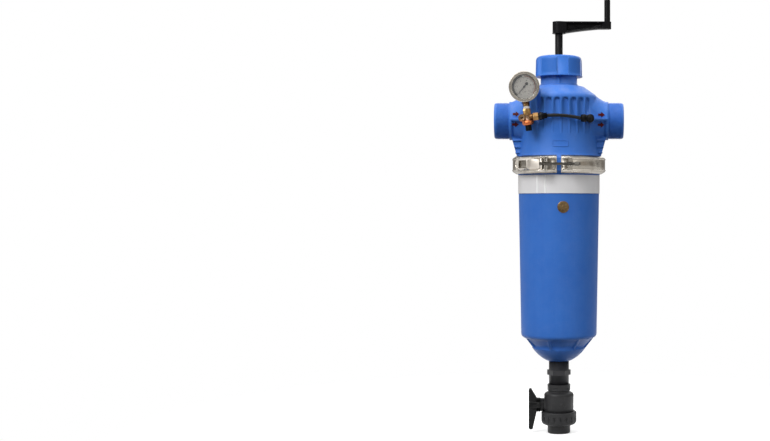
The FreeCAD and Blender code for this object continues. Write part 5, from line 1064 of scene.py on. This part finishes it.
CLAMP_Z = 643.4 * MM
BAND_R = 111.4 * MM
BAND_EDGE = 12.9 * MM         # from the clamp's middle height
BAND_RIM = 1.25 * MM          # radius of the rolled edge
BAND_SPANS = {"left": (267.4, 97.0), "right": (272.6, 443.0)}    # in degrees
BAND_STEPS = 120
LEVER_FACE_R = 115.1 * MM
LEVER_EDGE = 14.6 * MM
LEVER_RIM = 1.35 * MM
LEVER_SPAN_DEG = (249.0, 206.8)
LEVER_END_DEG = 13.0          # length of the rounded end
LEVER_STEPS = 40
SWELL_SPAN_DEG = (230.0, 247.0)
SWELL_HALF = 11.5 * MM
SWELL_PROUD = 1.5 * MM
SWELL_SUNK = (0.2 * MM, 0.9 * MM)               # edge and inner wall under the lever's face
SWELL_POWER = 0.7
SWELL_STEPS = 26
BAR_SIDES = 10
BAR_END_SHARE = 0.3


def bar_round_filter(name, angle_deg, z, radius, thick):
    """Round bar on an upright cylinder: its centre line is (R cos a, R sin a, z), and its section's two
    directions are outwards and square to the line. The first and last rings shrink to close the bar."""
    a = np.radians(angle_deg)
    line = np.stack([radius * np.cos(a), radius * np.sin(a), z], axis=-1)
    tangent = np.gradient(line, axis=0)
    tangent /= np.linalg.norm(tangent, axis=1, keepdims=True)
    outward = np.stack([np.cos(a), np.sin(a), 0 * a], axis=-1)
    outward -= np.sum(outward * tangent, axis=1, keepdims=True) * tangent
    outward /= np.linalg.norm(outward, axis=1, keepdims=True)
    side = np.cross(tangent, outward)
    turn = np.linspace(0, TAU, BAR_SIDES, endpoint=False)[None, :, None]
    size = np.full(len(a), thick)
    size[[0, -1]] = BAR_END_SHARE * thick
    ring = np.cos(turn) * outward[:, None] + np.sin(turn) * side[:, None]
    return surface(name, line[:, None] + size[:, None, None] * ring, close_columns=True, caps=True,
                   smooth_deg=ROUND_SMOOTH_DEG)


def band_rims():
    """Rolled edges of the two clamp bands, in the paler, glossier lever steel: a painted highlight along the
    bands' edges.
    """
    for side, (start_deg, end_deg) in BAND_SPANS.items():
        for edge, rise in (("top", BAND_EDGE), ("foot", -BAND_EDGE)):
            angle = np.linspace(start_deg, end_deg, BAND_STEPS)
            z = np.full(BAND_STEPS, CLAMP_Z + rise)
            rim = bar_round_filter("band_rim_%s_%s" % (side, edge), angle, z, BAND_R, BAND_RIM)
            # paler lever steel on the band's own edges: painted highlight
            belongs(rim, "clamp_half_" + side, lever_steel)


def lever_rim():
    """The lever's raised rim: along its top, round its left end as half an ellipse, and back along its
    foot."""
    start_deg, end_deg = LEVER_SPAN_DEG
    bend_deg = end_deg + LEVER_END_DEG
    sweep = np.linspace(0, math.pi, LEVER_STEPS)[1:-1]
    straight = np.linspace(start_deg, bend_deg, LEVER_STEPS)
    level = np.full(LEVER_STEPS, LEVER_EDGE)
    angle = np.concatenate([straight, bend_deg - LEVER_END_DEG * np.sin(sweep), straight[::-1]])
    z = CLAMP_Z + np.concatenate([level, LEVER_EDGE * np.cos(sweep), -level])
    belongs(bar_round_filter("lever_rim", angle, z, LEVER_FACE_R, LEVER_RIM), "clamp_lever", lever_steel)


def lever_swell():
    """Pressed swelling of the lever beside its hinge, in paler steel that paints its highlight: over the face
    it stands sin^0.7 of the share along it times cos^0.7 of the share across it."""
    start_deg, end_deg = SWELL_SPAN_DEG
    angle = np.linspace(start_deg, end_deg, SWELL_STEPS)[:, None]
    across = np.linspace(-1, 1, 21)
    share = (angle - start_deg) / (end_deg - start_deg)
    dome = np.sin(math.pi * share) ** SWELL_POWER * np.cos(0.5 * math.pi * across) ** SWELL_POWER
    edge_sunk, wall_sunk = SWELL_SUNK
    radii = np.concatenate([LEVER_FACE_R - edge_sunk + SWELL_PROUD * dome,
                            np.full((SWELL_STEPS, 2), LEVER_FACE_R - wall_sunk)], axis=1)
    z = CLAMP_Z + SWELL_HALF * np.concatenate([across, [1, -1]]) + 0 * radii
    a = np.radians(angle)
    points = np.stack([radii * np.cos(a), radii * np.sin(a), z], axis=-1)
    swell = surface("lever_swell", points, close_columns=True, caps=True, smooth_deg=50)
    # paler steel: painted highlight on the swelling
    belongs(swell, "clamp_lever", lever_satin_highlight)


# Neck bead and drain valve

NECK_BEAD = (                 # radius and height, in millimetres
    (43.5, 832.8), (46.6, 832.8), (46.4, 835.4), (45.4, 836.6), (44.3, 838.8), (43.5, 839.2),
)
STEM_SHROUD = ((15.55, -44.4), (15.7, -44.4), (15.7, -35.2), (15.55, -35.2))    # radius and x
STEM_Z = 67.0 * MM
VALVE_R = 35.5 * MM
PIP_CENTRE = (7.2 * MM, 70.2 * MM)
PIP_R = 4.6 * MM
PIP_PROUD = 1.1 * MM
PIP_SUNK = (1.2 * MM, 1.6 * MM)                 # edge and back under the valve's wall
PIP_STEPS = 40
SEAM_DEG = (-128.0, -68.0, 52.0, 128.0)
SEAM_Z = (58.0 * MM, 94.0 * MM)
SEAM_HALF = 1.4 * MM
SEAM_PROUD = 0.7 * MM
RIDGE_STEPS = 24
RIDGE_FADE = 2 * MM
RIDGE_SUNK = (0.02 * MM, 0.8 * MM)              # edge and inner wall under the round wall


def neck_bead():
    """Small moulded step where the neck meets the roof."""
    belongs(turned_piece("neck_bead", in_metres(NECK_BEAD), RING_COUNT, smooth_deg=40), "head", body_blue)


def stem_shroud():
    """Black collar of the handle, which covers the valve's neck up to the barrel."""
    piece = turned_piece("stem_shroud", in_metres(STEM_SHROUD), 64, (0, 0, STEM_Z), "x")
    belongs(piece, "valve_handle", handle_black)


def valve_pip():
    """Round moulded pip on the valve's front: over the barrel it stands 1 - share^4 of its height, and its
    edge goes down into the wall."""
    share = np.concatenate([np.linspace(0, 1, 14), [1.0]])[:, None]
    turn = np.linspace(0, TAU, PIP_STEPS, endpoint=False)
    edge_sunk, back_sunk = PIP_SUNK
    height = PIP_PROUD * np.clip(1 - share ** 4, 0, 1) + 0 * turn
    height[-1] = -edge_sunk
    x = PIP_CENTRE[0] + PIP_R * share * np.cos(turn)
    z = PIP_CENTRE[1] + PIP_R * share * np.sin(turn)
    y = -np.sqrt((VALVE_R + height) ** 2 - x ** 2)
    back = np.tile((PIP_CENTRE[0], back_sunk - VALVE_R, PIP_CENTRE[1]), (1, PIP_STEPS, 1))
    points = np.concatenate([np.stack([x, y, z], axis=-1), back])
    piece = surface("valve_pip", points, close_columns=True, smooth_deg=50, weld=True)
    belongs(piece, "valve_body", grey_pvc)


def upright_ridge(name, node, radius, z_span, angle_deg, half_width, proud, material):
    """Upright line on a node's round wall: a ridge of bell section across the angle, which fades at both
    ends."""
    up = np.linspace(*z_span, RIDGE_STEPS)[:, None]
    across = np.linspace(-1, 1, 7)
    angle = math.radians(angle_deg) + across * half_width / radius
    fade = np.clip(np.minimum(up - z_span[0], z_span[1] - up) / RIDGE_FADE, 0, 1)
    edge_sunk, wall_sunk = RIDGE_SUNK
    outer = radius + proud * bell(across, 0, 0.5) * fade - edge_sunk
    radii = np.concatenate([outer, np.full((RIDGE_STEPS, 2), radius - wall_sunk)], axis=1)
    a = np.concatenate([angle, [angle[-1], angle[0]]])
    points = np.stack([radii * np.cos(a), radii * np.sin(a), up + 0 * radii], axis=-1)
    piece = surface(name, points, close_columns=True, caps=True, smooth_deg=ROUND_SMOOTH_DEG)
    belongs(piece, node, material)


pointer_blade()
band_rims()
lever_rim()
lever_swell()
neck_bead()
stem_shroud()
port_threads()
for arrow, (arrow_x, arrow_z) in ARROW_PLACES.items():
    flow_arrow(arrow, arrow_x, arrow_z)
badge_frame()
label_wrap()
seal_stamp()
dial_sheet()
dial_scale()
bezel_groove()
gauge_pane()
thread_tape()
connector_ring()
bolt_thread()
valve_pip()
# the label's creases, painted white as their highlights
for line, line_deg in enumerate(CREASE_DEG, 1):
    upright_ridge("label_crease_highlight_%d" % line, "label_band", high("label_band")[0], CREASE_Z, line_deg,
                  CREASE_HALF, CREASE_PROUD, crease_painted_highlight)
for line, line_deg in enumerate(SEAM_DEG, 1):
    upright_ridge("valve_seam_%d" % line, "valve_body", VALVE_R, SEAM_Z, line_deg, SEAM_HALF, SEAM_PROUD,
                  grey_pvc)


# Light, floor and camera

PHOTO_WIDTH = 770
PHOTO_HEIGHT = 441
AXIS_PIXEL_X = 558.9
BASE_PIXEL_Y = 432.3
METRES_PER_PIXEL = 0.00241
CAMERA_DISTANCE = 3.0
EYE_PIXEL_Y = 205.0
SENSOR_WIDTH = 36.0
LAMPS = {                     # place, height of the point aimed at, size, watts
    "key": ((-1.9, -2.3, 2.7), 0.6, (1.8, 1.8), 88.0),
    "fill": ((2.4, -2.8, 1.5), 0.5, (1.4, 2.0), 15.0),
    "top": ((-0.3, -0.5, 3.2), 0.8, (1.4, 1.4), 30.0),
    "back": ((0.6, 2.8, 2.2), 0.6, (2.0, 1.6), 18.0),
}
FLOOR_HALF = 30
FLOOR_PAPER = 0.80
FLOOR_BOUNCE = 0.08
FLOOR_LIFT = 0.46
PAPER_REACH = (0.35, 1.1)     # the paper turns to plain white from the first radius to the second
SKY_LEVEL = (0.02, 1.05)
SKY_SPAN = (-0.25, 0.9)       # upward part of the direction at which the sky has those levels
CARD_DISTANCE = 3.6
CARD_LOW = -1.2
CARD_HIGH = 2.2
CARDS = {                     # middle and width in degrees, tone
    "card_1": (18.0, 30.0, (0.30, 0.27, 0.24)), "card_2": (58.0, 34.0, (0.46, 0.41, 0.36)),
    "card_3": (88.0, 18.0, (0.20, 0.18, 0.16)), "card_4": (112.0, 10.0, (0.05, 0.05, 0.05)),
    "card_5": (150.0, 50.0, (0.32, 0.30, 0.28)), "card_6": (-16.0, 14.0, (0.07, 0.065, 0.06)),
    "card_7": (-52.0, 16.0, (0.38, 0.35, 0.32)), "card_8": (-84.0, 26.0, (0.26, 0.25, 0.24)),
    "card_9": (-108.0, 10.0, (0.07, 0.065, 0.06)), "card_10": (-150.0, 52.0, (0.34, 0.32, 0.30)),
}


def add_camera():
    """Level camera in front of the filter, shifted so that the filter lies where the photograph has it."""
    data = bpy.data.cameras.new("camera")
    data.sensor_width = SENSOR_WIDTH
    data.lens = SENSOR_WIDTH * CAMERA_DISTANCE / (PHOTO_WIDTH * METRES_PER_PIXEL)
    data.shift_x = -(AXIS_PIXEL_X - PHOTO_WIDTH / 2) / PHOTO_WIDTH
    data.shift_y = (EYE_PIXEL_Y - PHOTO_HEIGHT / 2) / PHOTO_WIDTH
    camera = bpy.data.objects.new("camera", data)
    bpy.context.scene.collection.objects.link(camera)
    camera.location = (0, -CAMERA_DISTANCE, (BASE_PIXEL_Y - EYE_PIXEL_Y) * METRES_PER_PIXEL)
    camera.rotation_euler = (math.radians(90), 0, 0)
    bpy.context.scene.camera = camera


def add_lamp(name, place, aim_z, size, watts):
    """Square lamp that looks at the filter's axis."""
    data = bpy.data.lights.new(name, "AREA")
    data.shape = "RECTANGLE"
    data.size, data.size_y = size
    data.energy = watts
    lamp = bpy.data.objects.new(name, data)
    bpy.context.scene.collection.objects.link(lamp)
    lamp.location = place
    lamp.rotation_euler = (Vector((0, 0, aim_z)) - Vector(place)).to_track_quat("-Z", "Y").to_euler()


def seen_directly(tree):
    """1 for what the camera, gloss and glass see, and 0 for the light that falls on the object."""
    path = add_node(tree, "LightPath").outputs
    seen = add_node(tree, "Math", {0: path["Is Camera Ray"], 1: path["Is Glossy Ray"]}, operation="MAXIMUM")
    return add_node(tree, "Math", {0: seen.outputs[0], 1: path["Is Transmission Ray"]},
                    operation="MAXIMUM").outputs[0]


def add_floor():
    """Large pale floor at the drain's mouth: paper near the filter, which takes its shadow, and plain white
    further off. The light that it sends back up is kept low."""
    corners = [(x * FLOOR_HALF, y * FLOOR_HALF, 0) for x, y in ((-1, -1), (1, -1), (1, 1), (-1, 1))]
    floor = add_piece("floor", corners, [(0, 1, 2, 3)])
    material, tree, shader = finish("floor_paper", Roughness=0.9, Specular_IOR_Level=0.0,
                                    Emission_Color=(1, 1, 1, 1))
    seen = seen_directly(tree)
    paper = mixed_colour(tree, seen, (FLOOR_BOUNCE, FLOOR_BOUNCE, FLOOR_BOUNCE, 1),
                         (FLOOR_PAPER, FLOOR_PAPER, FLOOR_PAPER, 1))
    lift = add_node(tree, "Math", {0: seen, 1: FLOOR_LIFT}, operation="MULTIPLY")
    feed(tree, shader, {"Base Color": paper, "Emission Strength": lift.outputs[0]})
    place = add_node(tree, "TexCoord").outputs["Object"]
    reach = add_node(tree, "VectorMath", {0: place}, operation="LENGTH")
    share = add_node(tree, "MapRange", {"Value": reach.outputs["Value"], "From Min": PAPER_REACH[0],
                                        "From Max": PAPER_REACH[1], "To Min": 0.0, "To Max": 1.0},
                     interpolation_type="SMOOTHSTEP")
    far = add_node(tree, "Math", {0: share.outputs["Result"], 1: seen}, operation="MULTIPLY")
    white = add_node(tree, "Emission", {"Color": (1, 1, 1, 1), "Strength": 1.0})
    blend = add_node(tree, "MixShader", {0: far.outputs[0], 1: shader.outputs[0], 2: white.outputs[0]})
    feed(tree, tree.nodes["Material Output"], {"Surface": blend.outputs[0]})
    floor.data.materials.append(material)


def add_card(name, side_deg, width_deg, tone):
    """Upright card bent round the filter that only gloss sees, so that polished metal and satin plastic
    have something other than white to show. side_deg is measured from the front, round to the right."""
    turn = np.radians(np.linspace(side_deg - width_deg / 2, side_deg + width_deg / 2, 9))[:, None]
    level = np.array([CARD_LOW, CARD_HIGH])
    points = np.stack([CARD_DISTANCE * np.sin(turn) + 0 * level, -CARD_DISTANCE * np.cos(turn) + 0 * level,
                       level + 0 * turn], axis=-1)
    card = surface(name, points)
    material = bpy.data.materials.new(name)
    material.use_nodes = True
    tree = material.node_tree
    tree.nodes.clear()
    glow = add_node(tree, "Emission", {"Color": (*tone, 1), "Strength": 1.0})
    add_node(tree, "OutputMaterial", {"Surface": glow.outputs[0]})
    card.data.materials.append(material)
    card.visible_camera = False
    card.visible_diffuse = False
    card.visible_shadow = False
    card.visible_transmission = False


def set_world():
    """White where it is seen, and a soft sky for the light: brighter above than below."""
    world = bpy.data.worlds.new("studio")
    bpy.context.scene.world = world
    world.use_nodes = True
    tree = world.node_tree
    parts = add_node(tree, "SeparateXYZ", {0: add_node(tree, "TexCoord").outputs["Generated"]})
    sky = add_node(tree, "MapRange", {"Value": parts.outputs["Z"], "From Min": SKY_SPAN[0],
                                      "From Max": SKY_SPAN[1], "To Min": SKY_LEVEL[0],
                                      "To Max": SKY_LEVEL[1]})
    level = add_node(tree, "Mix", {0: seen_directly(tree), 2: sky.outputs["Result"], 3: 1.0},
                     data_type="FLOAT")
    feed(tree, tree.nodes["Background"], {"Color": (1, 1, 1, 1), "Strength": level.outputs[0]})


add_camera()
add_floor()
set_world()
for lamp_name, lamp in LAMPS.items():
    add_lamp(lamp_name, *lamp)
for card_name, card in CARDS.items():
    add_card(card_name, *card)
bpy.context.scene.view_settings.view_transform = "Standard"
